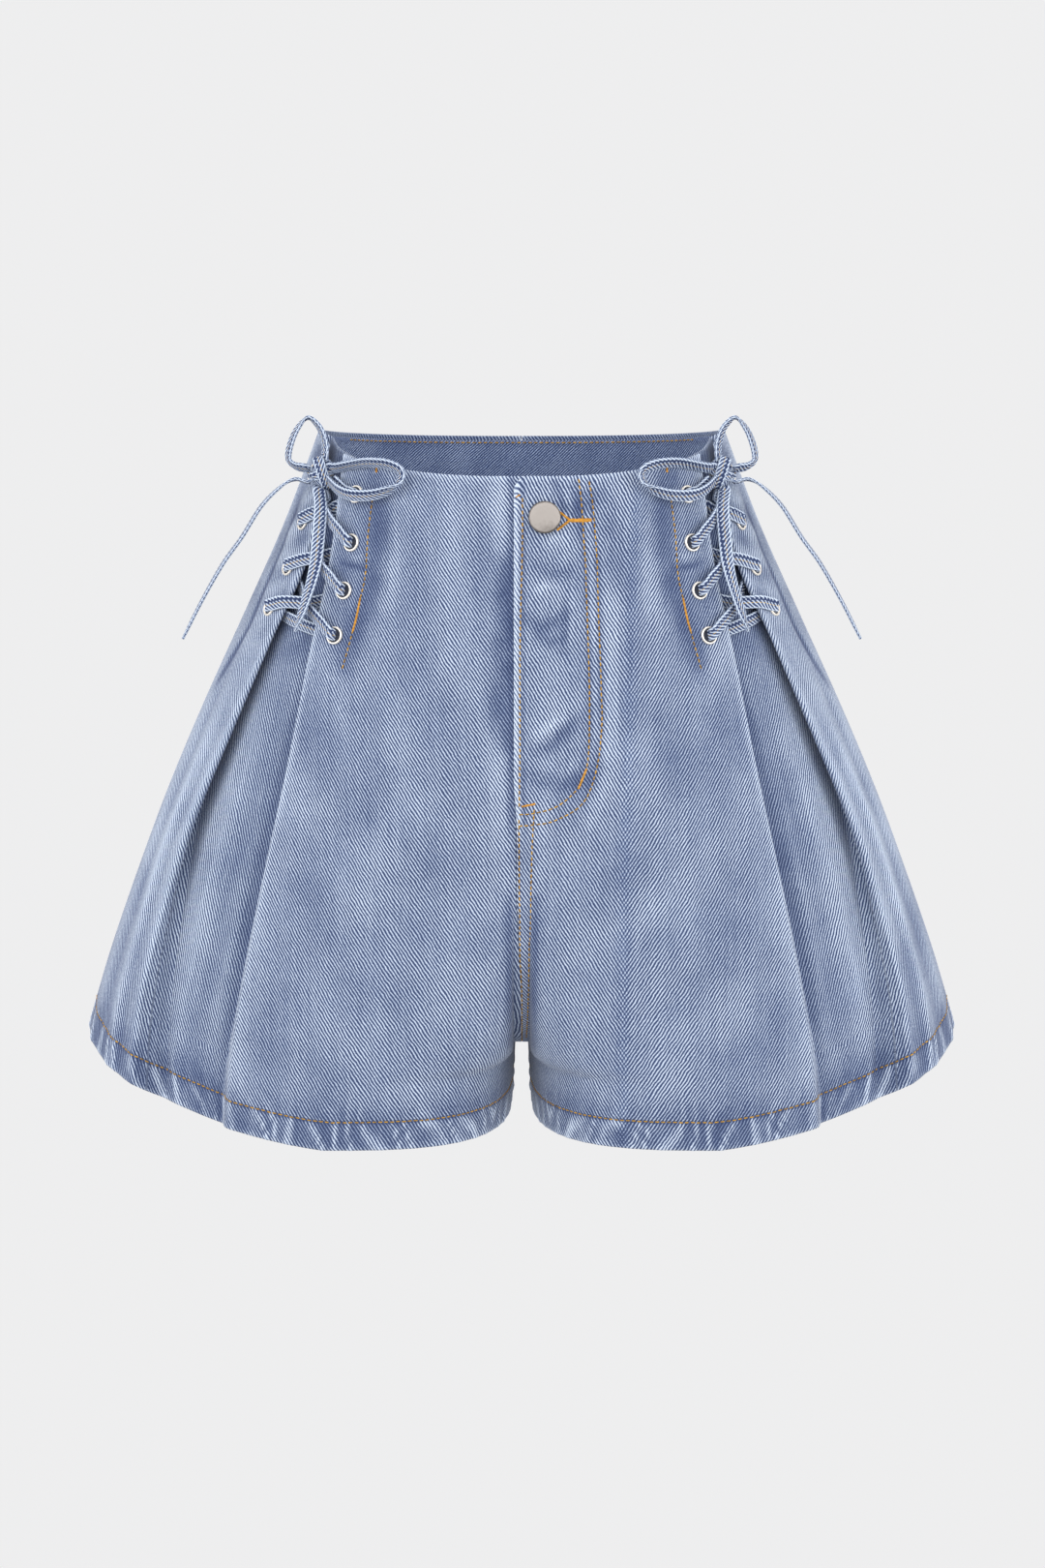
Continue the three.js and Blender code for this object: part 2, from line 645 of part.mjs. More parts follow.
// The bar behind both strips at the lowest eyelets
const LOWEST_BAR = { parts: [0.15, 0.85], depth: 5.5 };
// How the lace from each strip's top eyelet passes the strip's edge, and the side of the knot it meets
const LACE_END_BUNCH = 0.5;
const LACE_END = {
  front: { edge: { part: 0.02, up: 0.008, depth: -2.3 }, end: [-0.8, -0.3, -0.5] },
  rear: { edge: { part: 0.2, up: 0, depth: -4.2 }, end: [0.4, 1, -0.2] },
};

function otherStrip(strip) {
  return strip === 'front' ? 'rear' : 'front';
}

function lacePoint(strip, part, down, depth, inGap) {
  const { front, rear } = section('front', down);
  const inset = part * EYELET_INSET[strip];
  let along = strip === 'front' ? front - inset : rear + inset;
  if (inGap) along = strip === 'front' ? mix(front, rear, part) : mix(rear, front, part);
  return placed('front', down, along, depth);
}

const UP = new THREE.Vector3(0, 0, 1);

function laceStation(at, bunch, left) {
  return {
    at: onSide(at, left),
    across: UP,
    wide: mix(LACE.wide, LACE.bunchedWide, bunch),
    thick: mix(LACE.thick, LACE.bunchedThick, bunch),
  };
}

// The run of lace from a lowest eyelet up to the knot
function laceRun(firstStrip, deeper, left) {
  const stations = [];
  let strip = firstStrip;
  for (let eyelet = EYELET_LEVELS.length - 1; eyelet > 0; eyelet--) {
    for (const { on, part, level, depth, bunch } of CROSSING) {
      const down = mix(EYELET_LEVELS[eyelet], EYELET_LEVELS[eyelet - 1], level);
      const own = on === 'other' ? otherStrip(strip) : strip;
      const lower = on === 'gap' ? deeper : 0;
      const at = lacePoint(own, part, down, depth + lower, on === 'gap');
      stations.push(laceStation(at, bunch, left));
    }
    strip = otherStrip(strip);
  }
  for (const { part, depth, bunch } of CROSSING.slice(0, 4)) {
    stations.push(laceStation(lacePoint(strip, part, EYELET_LEVELS[0], depth, false), bunch, left));
  }
  const { end, edge } = LACE_END[strip];
  const over = lacePoint(strip, edge.part, EYELET_LEVELS[0] - edge.up, edge.depth, false);
  for (const at of [over, ...offKnot(end).toReversed()]) stations.push(laceStation(at, LACE_END_BUNCH, left));
  return stations;
}

// Both runs of one side are one lace, joined by the bar under the lowest eyelets
function lace(left) {
  const first = laceRun('rear', CROSSING_DEEPER, left).toReversed();
  const second = laceRun('front', 0, left);
  const lowest = EYELET_LEVELS.at(-1);
  const bar = LOWEST_BAR.parts.map((part) => (
    laceStation(lacePoint('rear', part, lowest, LOWEST_BAR.depth, true), 0, left)
  ));
  return tape([...first, ...bar, ...second]);
}

// Profiles as radius and height above the cloth's face
const EYELET_PROFILE = [
  [EYELET.bore, EYELET.base + EYELET.lip], [EYELET.flange, EYELET.base + EYELET.lip * 0.6],
  [EYELET.flange, EYELET.base], [EYELET.barrel, EYELET.base], [EYELET.barrel, EYELET.behind],
  [EYELET.bore, EYELET.behind], [EYELET.bore, EYELET.base + EYELET.lip],
];
const BUTTON_PROFILE = [
  [0, -1.2], [BUTTON.shank, -1.2], [BUTTON.shank, 2.2], [BUTTON.radius - 0.5, 2.4], [BUTTON.radius, 3],
  [BUTTON.radius, 4], [BUTTON.radius - 0.6, 4.7], [6.4, 4.8], [6.1, 4.4], [2.6, 4.4], [2.3, 4.9], [0, 4.9],
];
const BUTTON_SEGMENTS = 20;
const EYELET_SEGMENTS = 10;

const group = new THREE.Group();

for (const left of [false, true]) {
  const side = left ? 'left' : 'right';
  const holes = eyeletHoles();
  const buttonHole = {
    down: BUTTON.down, along: buttonAlong(), radius: BUTTON.hole, reach: HOLE_REACH.button,
  };
  if (left) holes.push(buttonHole);
  group.add(mesh(`front_${side}`, punched(frontPanel(left), holes, left), MATERIALS.denim));
  group.add(mesh(`back_${side}`, backPanel(left), MATERIALS.denim));
  for (const strip of ['front', 'rear']) {
    EYELET_LEVELS.forEach((down, at) => {
      const ring = turnedSolid(EYELET_PROFILE, EYELET_SEGMENTS);
      standing(ring, 'front', down, eyeletAlong(strip, down), left);
      group.add(mesh(`eyelet_${side}_${strip}_${at + 1}`, ring, MATERIALS.eyelet));
    });
  }
  group.add(mesh(`lace_${side}`, lace(left), MATERIALS.tape));
  group.add(mesh(`knot_${side}`, knot(left), MATERIALS.tape));
  for (const [name, rows] of Object.entries(BOW)) {
    group.add(mesh(`${name}_${side}`, bowPiece(rows, left), MATERIALS.tape));
  }
}

const shield = innerLayer(
  'front', () => SHIELD.right, () => SHIELD.left, SHIELD.top, SHIELD.foot, SHIELD.depth, 8, 8,
);
group.add(mesh('fly_shield', shield, MATERIALS.denim));

const facing = innerLayer(
  'back', (down) => section('back', down).side, (down) => section('back', down).side,
  FACING.top, FACING.foot, FACING.depth, 2, 24,
);
group.add(mesh('back_facing', facing, MATERIALS.inside));

const button = turnedSolid(BUTTON_PROFILE, BUTTON_SEGMENTS);
standing(button, 'front', BUTTON.down, buttonAlong(), true);
group.add(mesh('button', button, MATERIALS.button));

export default group;
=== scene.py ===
# %% [markdown]
# # Laced denim shorts
# High-waisted shorts, wide in the leg, filled out and hollow, with a deep pleat laced shut at each side.
# The imported model is the frame. The looks have to stay inside the same size.

# %% The frame
import math
from types import SimpleNamespace

import bmesh
import bpy
import numpy as np
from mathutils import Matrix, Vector


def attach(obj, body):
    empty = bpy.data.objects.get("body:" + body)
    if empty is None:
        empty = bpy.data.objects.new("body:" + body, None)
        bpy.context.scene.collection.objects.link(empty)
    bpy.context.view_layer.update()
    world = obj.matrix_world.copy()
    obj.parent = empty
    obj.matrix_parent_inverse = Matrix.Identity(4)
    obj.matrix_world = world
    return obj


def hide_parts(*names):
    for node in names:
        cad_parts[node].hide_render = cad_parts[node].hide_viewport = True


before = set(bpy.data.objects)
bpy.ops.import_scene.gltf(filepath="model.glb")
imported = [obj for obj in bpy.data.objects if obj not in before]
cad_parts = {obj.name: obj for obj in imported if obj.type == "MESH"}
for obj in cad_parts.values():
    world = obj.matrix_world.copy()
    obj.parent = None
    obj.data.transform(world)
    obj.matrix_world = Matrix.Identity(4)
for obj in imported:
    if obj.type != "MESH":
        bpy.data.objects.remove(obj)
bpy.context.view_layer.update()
MM = 0.001

# %% [markdown]
# ## Camera
# The shorts are seen from straight in front and from a little above, so that the inside of the back shows.
# A long lens from two metres keeps the waist and the hem in proportion.

# %% Camera
CAMERA = {"distance": 2.0, "elevation": 9.5, "lens": 79.11, "target": (0.00045, 0.0, -0.198)}
camera_data = bpy.data.cameras.new("camera")
camera_data.lens = CAMERA["lens"]
camera_data.sensor_width = 36.0
camera_data.clip_end = 30.0
camera = bpy.data.objects.new("camera", camera_data)
rise = math.radians(CAMERA["elevation"])
toward = Vector((0.0, math.cos(rise), -math.sin(rise)))
camera.location = Vector(CAMERA["target"]) - toward * CAMERA["distance"]
camera.rotation_euler = toward.to_track_quat("-Z", "Y").to_euler()
bpy.context.scene.collection.objects.link(camera)
bpy.context.scene.camera = camera
print("camera at", tuple(round(value, 3) for value in camera.location))

# %% [markdown]
# ## Sizes
# The shape is worked out from a table of cross sections, in millimetres, at shares of the way down.
# A pattern cutter grades a flared leg the same way: a width and a depth at waist, hip, crotch and hem.
# The pleat has its own columns, because its two edges open faster than the leg does.

# %% Sizes
CLOTH = 1.3
HEM_CLOTH = 2.4
HEM_HEIGHT = 17.5
SEAM_GAP = 0.3
WAIST = {"front": -13.0, "back": -2.0, "side": 7.5}
HEM = {"front": -387.0, "back": -380.0, "side": -338.0}
HEM_START = 1 - HEM_HEIGHT / (WAIST["front"] - HEM["front"])
COLUMNS = ("down", "half", "front", "back", "middle", "frontFold", "rearFold", "under", "turn", "deep")
SHAPE = np.array([
    (0.00, 115.5, 84.0, 84.0, 14.0, 100.3, 110.5, 20.5, 1.65, 8.0),
    (0.15, 135.5, 91.0, 95.0, 20.0, 107.5, 119.6, 20.5, 1.65, 8.0),
    (0.30, 159.0, 97.0, 107.0, 32.0, 119.6, 143.1, 20.5, 1.65, 8.0),
    (0.45, 183.0, 102.0, 113.0, 50.0, 130.8, 166.7, 18.0, 2.0, 10.0),
    (0.60, 205.3, 105.5, 114.0, 70.0, 143.3, 189.5, 16.0, 2.5, 12.5),
    (0.75, 225.0, 108.0, 112.0, 88.0, 155.4, 205.9, 13.0, 3.1, 15.0),
    (0.88, 240.8, 110.0, 110.0, 102.0, 164.2, 217.0, 9.5, 3.6, 17.0),
    (1.00, 253.5, 111.0, 108.0, 110.0, 168.0, 220.5, 6.5, 4.0, 18.0),
])
CROTCH = 0.895
RISE = {"front": (0.45, 2.8), "back": (0.35, 2.2)}
INNER = (4.5, 5.5)
FLY = {"edge": 4.5, "underlap": 4.0, "raise": 1.6, "blend": 12.0, "corner": 6.5, "foot": 0.5, "seam": 3.0}
PLEAT_HANG = 0.2
PLEAT_LEVEL = {"from": 0.45, "depth": 8.0}
HEM_RISE = 0.6
BOTH = (("right", False), ("left", True))


def smooth(value, low, high):
    share = np.clip((np.asarray(value, dtype=float) - low) / (high - low), 0, 1)
    return share * share * (3 - 2 * share)


def mix(a, b, share):
    return a + (b - a) * share


def bell(distance, width):
    return np.exp(-(distance / width) ** 2)


def run_lengths(points):
    """The distance along a line of points at each of them."""
    return np.concatenate([[0.0], np.cumsum(np.linalg.norm(np.diff(points, axis=0), axis=1))])


def length_of(points):
    return float(np.sum(np.linalg.norm(np.diff(points, axis=0), axis=1)))


def shape(name, down):
    """One column of the table at a height, on a smooth curve through its rows."""
    rows, values = SHAPE[:, 0], SHAPE[:, COLUMNS.index(name)]
    down = np.asarray(down, dtype=float)
    low = np.clip(np.searchsorted(rows, down, side="right") - 1, 0, len(rows) - 2)
    ends = np.arange(len(rows))
    before, after = np.maximum(ends - 1, 0), np.minimum(ends + 1, len(rows) - 1)
    slopes = (values[after] - values[before]) / (rows[after] - rows[before])
    span = rows[low + 1] - rows[low]
    t = (down - rows[low]) / span
    bend = mix(values[low], values[low + 1], t * t * (3 - 2 * t))
    return bend + t * (1 - t) ** 2 * span * slopes[low] + t * t * (t - 1) * span * slopes[low + 1]


print("front length", WAIST["front"] - HEM["front"], "mm, hem from side to side", 2 * SHAPE[-1, 1], "mm")

# %% [markdown]
# ## The body of the garment
# Each half of the front and of the back is one curved surface, from the middle seam round to the side seam.
# Distances along it start at the leg's inner corner. A leg is squarer inside than outside, as worn cloth is.
# The surface is tabled once, finely, and every panel, seam and stitch is then placed on it.

# %% The surface
STEPS = 96
LEVELS = np.linspace(0, 1, 401)


def seam_depth(cut, down):
    start, power = RISE[cut]
    t = np.clip((down - start) / (CROTCH - start), 0, 1)
    return np.maximum(shape(cut, down) * (1 - t ** power) ** (1 / power), SEAM_GAP / 2)


def inner_at(down):
    return mix(INNER[0], INNER[1], smooth(down, CROTCH, 1))


def height_at(cut, down, y, outer):
    own = mix(WAIST[cut], HEM[cut], down)
    reach = np.minimum(np.abs(y) / shape(cut, down), 1)
    if outer:
        return mix(own, mix(WAIST["side"], HEM["side"], down), (1 - reach) ** mix(1, HEM_RISE, down))
    between = mix((WAIST["front"] + WAIST["back"]) / 2, (HEM["front"] + HEM["back"]) / 2, down)
    return mix(between, own, reach)


def section(cut, down):
    """The outline at a height and the distance along it of each point."""
    way = -1 if cut == "front" else 1
    inner, seam, depth = inner_at(down), seam_depth(cut, down), shape(cut, down)
    middle, half = shape("middle", down), shape("half", down)
    angle = np.linspace(0, math.pi / 2, STEPS + 1)
    x1 = middle - (middle - inner) * np.maximum(np.cos(angle), 0) ** (2 / 3)
    y1 = way * mix(seam, depth, np.sin(angle) ** (2 / 3))
    x2 = middle + (half - middle) * np.sin(angle[1:])
    y2 = way * np.maximum(depth * np.cos(angle[1:]), SEAM_GAP / 2)
    points = np.column_stack([
        np.concatenate([x1, x2]),
        np.concatenate([y1, y2]),
        np.concatenate([height_at(cut, down, y1, False), height_at(cut, down, y2, True)]),
    ])
    return points, run_lengths(points)


TABLE = {cut: [section(cut, down) for down in LEVELS] for cut in ("front", "back")}
TOTALS = {cut: np.array([lengths[-1] for _, lengths in rows]) for cut, rows in TABLE.items()}


def along_to(down, x):
    """The distance along a front at which it is x from the centre plane, out past its deepest place."""
    found = []
    for d, wanted in zip(np.atleast_1d(down), np.atleast_1d(x)):
        points, lengths = section("front", float(d))
        found.append(np.interp(wanted, points[STEPS:, 0], lengths[STEPS:]))
    return np.array(found)


FOLDS = {
    "front": along_to(LEVELS, shape("frontFold", LEVELS)),
    "rear": along_to(LEVELS, shape("rearFold", LEVELS)),
}


def fold_at(strip, down):
    return np.interp(down, LEVELS, FOLDS[strip])


def side_at(cut, down):
    return np.interp(down, LEVELS, TOTALS[cut])


def on(cut, down, along):
    """Points of the plain surface, in millimetres. Away from the inner edge, distances between two tabled
    levels are matched from the side seam, because the crotch's curve makes the inner ones differ."""
    down, along = np.broadcast_arrays(np.clip(np.asarray(down, float), 0, 1), np.asarray(along, float))
    shape_of = down.shape
    down, along = down.ravel(), along.ravel()
    level = down * (len(LEVELS) - 1)
    low = np.minimum(level.astype(int), len(LEVELS) - 2)
    total, settled = side_at(cut, down), smooth(along, 0, 60)
    made = np.zeros((len(down), 3))
    for row in np.unique(low):
        here = low == row
        ends = []
        for points, lengths in TABLE[cut][row:row + 2]:
            reach = np.maximum(along[here] + (lengths[-1] - total[here]) * settled[here], 0)
            found = np.column_stack([np.interp(reach, lengths, points[:, axis]) for axis in range(3)])
            found[:, 0] += np.minimum(along[here], 0)
            ends.append(found)
        made[here] = mix(ends[0], ends[1], (level[here] - row)[:, None])
    return made.reshape(shape_of + (3,))


def outwards(cut, down, along, near=1.5, near_down=0.004):
    down, along = np.asarray(down, float), np.asarray(along, float)
    across = on(cut, down, along + near) - on(cut, down, along - near)
    below = on(cut, np.minimum(down + near_down, 1), along)
    downwards = below - on(cut, np.maximum(down - near_down, 0), along)
    normal = np.cross(across, downwards) * (-1 if cut == "front" else 1)
    return normal / np.linalg.norm(normal, axis=-1, keepdims=True)


def placed(cut, down, along, depth):
    """Points at a depth under the surface. A seam's edge keeps its cut in the seam's own plane."""
    point, normal = on(cut, down, along), outwards(cut, down, along)
    normal[..., 0] = np.where(np.abs(point[..., 0]) <= SEAM_GAP, 0, normal[..., 0])
    normal[..., 1] = np.where(np.abs(point[..., 1]) <= SEAM_GAP, 0, normal[..., 1])
    normal = normal / np.maximum(np.linalg.norm(normal, axis=-1, keepdims=True), 1e-9)
    return point - normal * np.asarray(depth, float)[..., None]


print("waist of the fronts", round(2 * float(side_at("front", 0)), 1), "mm, with the pleats closed")

# %% [markdown]
# ## Places on the fronts
# The left front laps over the right one at the fly, so it is lifted there and its top corner is rounded.
# The bottom of each pleat hangs a little lower than its edges, as loose cloth does.
# One function gives any place on a front, so that the cloth and the thread on it can't drift apart.

# %% Places on the fronts
def inner_edge(down, past):
    opened = mix(SEAM_GAP / 2 + past, inner_at(down), smooth(down, CROTCH, CROTCH + 0.01))
    return opened - inner_at(down)


def front_edge(down, left):
    in_fly = 1 - smooth(down, FLY["foot"] - 0.06, FLY["foot"] + 0.01)
    shift = FLY["seam"] * (1 - smooth(down, 0.6, 0.8))
    if left:
        return inner_edge(down, mix(-shift, -FLY["edge"], in_fly))
    return inner_edge(down, mix(shift, -FLY["underlap"], in_fly))


def fly_raise(down, along, left):
    if not left:
        return np.zeros_like(along)
    x = along + inner_at(down)
    across = 1 - smooth(x, FLY["edge"], FLY["edge"] + FLY["blend"])
    return FLY["raise"] * across * (1 - smooth(down, FLY["foot"] + 0.02, FLY["foot"] + 0.08))


def level_at(x, down):
    """The height of the front's plain surface at a distance from the centre plane."""
    middle = shape("middle", down)
    share = np.clip((x - middle) / (shape("half", down) - middle), 0, 1)
    return height_at("front", down, np.sqrt(1 - share ** 2) * shape("front", down), True)


def front_place(left, down, along, lift):
    """A place on a front, lifted off its plain surface. Inside the pleat the lift is a depth, below zero."""
    down, along, lift = np.broadcast_arrays(*(np.asarray(v, float) for v in (down, along, lift)))
    drop = np.zeros_like(down)
    if left:
        near = np.maximum(1 - (along - front_edge(down, True)) / FLY["corner"], 0)
        drop = FLY["corner"] * near ** 2 / (WAIST["front"] - HEM["front"]) * (1 - smooth(down, 0, 0.06))
    depth = -lift - fly_raise(down, along, left)
    made = placed("front", down + drop, along, depth)
    sunk = smooth(depth, CLOTH, PLEAT_LEVEL["depth"]) * smooth(down, PLEAT_LEVEL["from"], 1)
    made[..., 2] = mix(made[..., 2], level_at(made[..., 0], down), sunk)
    made[..., 2] -= PLEAT_HANG * np.maximum(depth - CLOTH, 0) * down ** 2
    if not left:
        made[..., 0] *= -1
    return made


print("fly edge at the waist", front_place(True, 0.03, front_edge(0.03, True), 0.0).round(1))

# %% [markdown]
# ## Pieces from grids
# Cloth is a sheet, so each panel is a grid whose rows run across the garment and whose columns run down it.
# Each grid carries a map of distances on the cloth, which is what the weave is drawn from.

# %% Pieces from grids
def link(name, mesh, material):
    made = bpy.data.objects.new(name, mesh)
    bpy.context.scene.collection.objects.link(made)
    mesh.materials.append(material)
    return made


def built(name, bm, material):
    mesh = bpy.data.meshes.new(name)
    bm.to_mesh(mesh)
    bm.free()
    return link(name, mesh, material)


def grid_piece(name, points, lengths, facing, material, values, closed=False):
    """A piece from rows by columns of points in mm. closed joins the last column to the first."""
    rows, columns = points.shape[:2]
    bm = bmesh.new()
    bmesh.ops.create_grid(bm, x_segments=columns - 1, y_segments=rows - 1, size=1.0)
    bm.verts.ensure_lookup_table()
    column = [round((v.co.x + 1) / 2 * (columns - 1)) for v in bm.verts]
    row = [round((v.co.y + 1) / 2 * (rows - 1)) for v in bm.verts]
    uv = bm.loops.layers.uv.new("cloth")
    layers = {key: bm.verts.layers.float.new(key) for key in values}
    for at, vert in enumerate(bm.verts):
        vert.co = Vector(points[row[at], column[at]] * MM)
        for key, layer in layers.items():
            vert[layer] = values[key][row[at], column[at]]
    for face in bm.faces:
        for loop in face.loops:
            at = loop.vert.index
            loop[uv].uv = lengths[row[at], column[at]] * MM
    bm.faces.ensure_lookup_table()
    middle = bm.faces[len(bm.faces) // 2]
    bm.normal_update()
    wanted = facing(np.array(middle.calc_center_median()) / MM)
    if middle.normal.dot(Vector(wanted)) < 0:
        bmesh.ops.reverse_faces(bm, faces=bm.faces)
    if closed:
        bmesh.ops.remove_doubles(bm, verts=bm.verts, dist=1e-6)
    for face in bm.faces:
        face.smooth = True
    return built(name, bm, material)


def cloth_lengths(points):
    """The distances on the cloth, across from the first column and down from the first row."""
    across = np.linalg.norm(np.diff(points, axis=1), axis=2)
    down = np.linalg.norm(np.diff(points, axis=0), axis=2)
    u = np.concatenate([np.zeros((len(points), 1)), np.cumsum(across, axis=1)], axis=1)
    v = np.concatenate([np.zeros((1, points.shape[1])), np.cumsum(down, axis=0)], axis=0)
    return np.stack([u, -v], axis=2)


def thicken(piece, thickness, thin=None):
    """Gives a sheet its thickness inwards. thin is the share of it outside the group named thick."""
    wall = piece.modifiers.new("cloth", "SOLIDIFY")
    wall.thickness = thickness * MM
    wall.offset = -1
    if thin is not None:
        wall.vertex_group = "thick"
        wall.thickness_vertex_group = thin


def wander(a, b, seed):
    """A soft field of hills and hollows from -1 to 1, the same on each run."""
    made = np.zeros(np.broadcast(a, b).shape)
    turn = np.random.default_rng(seed)
    for _ in range(5):
        angle, size, shift = turn.uniform(0, 2 * math.pi), turn.uniform(0.6, 1.7), turn.uniform(0, 6.3)
        made = made + np.sin((a * math.cos(angle) + b * math.sin(angle)) * size * 2 * math.pi + shift)
    return made / 3


print("grid pieces ready")

# %% [markdown]
# ## Denim
# Denim is a twill: a blue warp and a white weft, which show as fine slanting lines.
# Washing bleaches what stands proud and leaves the hollows blue, so one value on the cloth, its wear,
# moves the colour between the two. The same value also carries painted shade, in hollows, gaps and under
# edges, and painted light, on edges and on cloth turned away from the lamps. Long faint streaks come from
# uneven yarn, and clouds from the wash.

# %% Denim
class Nodes:
    """Makes a material's nodes one after another."""

    def __init__(self, name):
        self.material = bpy.data.materials.new(name)
        self.material.use_nodes = True
        self.tree = self.material.node_tree
        self.shader = self.tree.nodes["Principled BSDF"]

    def add(self, kind, settings=None, **sockets):
        node = self.tree.nodes.new(kind)
        for key, value in (settings or {}).items():
            setattr(node, key, value)
        for key, value in sockets.items():
            numbered = key[0] == "i" and key[1:].isdigit()
            self.put(node.inputs[int(key[1:]) if numbered else key], value)
        return node

    def put(self, socket, value):
        if isinstance(value, bpy.types.NodeSocket):
            self.tree.links.new(value, socket)
        else:
            socket.default_value = value

    def math(self, operation, a, b=0.0):
        return self.add("ShaderNodeMath", {"operation": operation}, i0=a, i1=b).outputs[0]

    def plus(self, a, b):
        return self.math("ADD", a, b)

    def minus(self, a, b):
        return self.math("SUBTRACT", a, b)

    def times(self, a, b):
        return self.math("MULTIPLY", a, b)

    def total(self, value, *parts):
        """The value with each part added at its own share."""
        for part, share in parts:
            value = self.plus(value, self.times(part, share))
        return value

    def in_mm(self, vector):
        return self.add("ShaderNodeVectorMath", {"operation": "SCALE"}, i0=vector, Scale=1000.0).outputs[0]

    def object_place(self):
        return self.in_mm(self.add("ShaderNodeTexCoord").outputs["Object"])

    def cloth_place(self):
        """The place on the cloth in mm, whole and as its distances across and down."""
        place = self.in_mm(self.add("ShaderNodeUVMap", {"uv_map": "cloth"}).outputs["UV"])
        parts = self.add("ShaderNodeSeparateXYZ", None, i0=place).outputs
        return place, parts[0], parts[1]

    def value(self, name):
        """A value kept on the piece's own points."""
        return self.add("ShaderNodeAttribute", {"attribute_name": name}).outputs["Fac"]

    def noise(self, vector, scale, detail=2.0, roughness=0.5):
        sockets = {"Vector": vector, "Scale": scale, "Detail": detail, "Roughness": roughness}
        return self.add("ShaderNodeTexNoise", None, **sockets).outputs["Fac"]

    def uneven(self, *noise):
        """Noise about zero."""
        return self.minus(self.noise(*noise), 0.5)

    def step(self, value, low, high):
        """0 below low and 1 above high, with a smooth change between."""
        made = self.add(
            "ShaderNodeMapRange", {"interpolation_type": "SMOOTHSTEP"},
            **{"Value": value, "From Min": low, "From Max": high},
        )
        return made.outputs["Result"]

    def band(self, value, centre, half):
        """1 at the centre, falling to 0 at half the band's width away."""
        far = self.math("ABSOLUTE", self.minus(value, centre))
        return self.minus(1.0, self.step(far, half * 0.5, half))

    def ramp(self, value, stops):
        made = self.add("ShaderNodeValToRGB", None, Fac=value)
        ramp = made.color_ramp
        while len(ramp.elements) < len(stops):
            ramp.elements.new(0.5)
        for element, (place, colour) in zip(ramp.elements, stops):
            element.position = place
            element.color = (*colour, 1.0)
        return made.outputs["Color"]

    def bump(self, height, distance, strength):
        made = self.add("ShaderNodeBump", None, Height=height, Distance=distance, Strength=strength)
        return made.outputs["Normal"]

    def wired(self, colour, roughness, normal, others=None):
        """The material with its shader joined up. others are plain values for further sockets."""
        sockets = {"Base Color": colour, "Roughness": roughness, "Normal": normal, **(others or {})}
        for socket, value in sockets.items():
            self.put(self.shader.inputs[socket], value)
        return self.material


NAVY = (0.032, 0.050, 0.122)
BLUE = (0.108, 0.150, 0.272)
SKY = (0.277, 0.340, 0.470)
PALE = (0.610, 0.690, 0.810)
WASH = ((0.05, NAVY), (0.33, BLUE), (0.60, SKY), (0.92, PALE))
RIB_WAY = (0.84, 0.54)
TURN = {"at": 54.0, "over": 7.0}
COTTON = {"Specular IOR Level": 0.22}
FUZZ = {"Sheen Weight": 0.18, "Sheen Roughness": 0.5}


def denim(name, slant, pitch=1.7, base=0.0, contrast=1.0, turns=False, tint=(1.0, 1.0, 1.0)):
    """slant is 1 where the twill falls to the right of the cloth and -1 where it falls to the left.
    turns is True on the front whose slant slowly turns over, as far from the middle as TURN says."""
    n = Nodes(name)
    place, u, v = n.cloth_place()
    wobble = n.times(n.uneven(place, 0.16, 3.0), 1.7)

    def rib(way):
        along = n.plus(n.times(u, RIB_WAY[0] * way), n.times(v, RIB_WAY[1]))
        return n.math("SINE", n.times(n.plus(along, wobble), 2 * math.pi / pitch))

    twill = rib(slant)
    if turns:
        place_across = n.plus(u, n.times(wobble, 6.0))
        turn = n.step(place_across, TURN["at"] - TURN["over"], TURN["at"] + TURN["over"])
        twill = n.plus(n.times(twill, n.minus(1.0, turn)), n.times(rib(-slant), turn))
    strong = n.plus(0.60, n.times(n.noise(place, 0.03, 2.0), 0.8))
    twill = n.times(twill, strong)
    grain = n.uneven(place, 1.0, 2.0, 0.75)
    stretched = n.add("ShaderNodeMapping", None, Vector=place, Scale=(0.42, 0.018, 1.0)).outputs[0]
    streaks = n.uneven(stretched, 1.0, 2.0, 0.6)
    clouds = n.uneven(place, 0.035, 3.0, 0.55)
    # the tone follows the wear value, which also holds painted shade and painted light
    tone = n.total(
        0.385 + base, (n.value("wear_and_shade"), 0.46), (twill, 0.50 * contrast), (grain, 0.80), (streaks, 0.22),
        (clouds, 0.30),
    )
    tinted = [(at, tuple(part * share for part, share in zip(colour, tint))) for at, colour in WASH]
    height = n.plus(n.times(twill, 0.35), n.times(grain, 0.9))
    roughness = n.plus(0.88, n.times(grain, 0.18))
    return n.wired(n.ramp(tone, tinted), roughness, n.bump(height, 0.00014, 0.8), {**COTTON, **FUZZ})


DENIM = {
    "front_right": denim("denim_front_right", 1, base=-0.02),
    "front_left": denim("denim_front_left", 1, base=-0.02, turns=True),
    "back": denim("denim_back", 1, contrast=0.8),
    # the facing's copy of the denim is darker and bluer: painted shade of the inside of the garment
    "inside": denim("denim_inside", -1, pitch=1.6, base=-0.13, tint=(0.94, 0.99, 1.10)),
}
print("materials:", sorted(DENIM))

# %% [markdown]
# ## Creases, wear and painted shade
# A worn pair shows where it bends: soft troughs run from the lacing, the fly and the seams.
# Each one is a line across the cloth with a width, a lift in mm and a change of wear. Where a trough
# is darker, that is partly wash and partly painted shade of the hollow.
# They are listed one by one, uneven in length and depth, and the same table serves colour and form.
# The two rows of the fly's J are given here, because the cloth sinks along their thread and is painted darker
# there as shade.

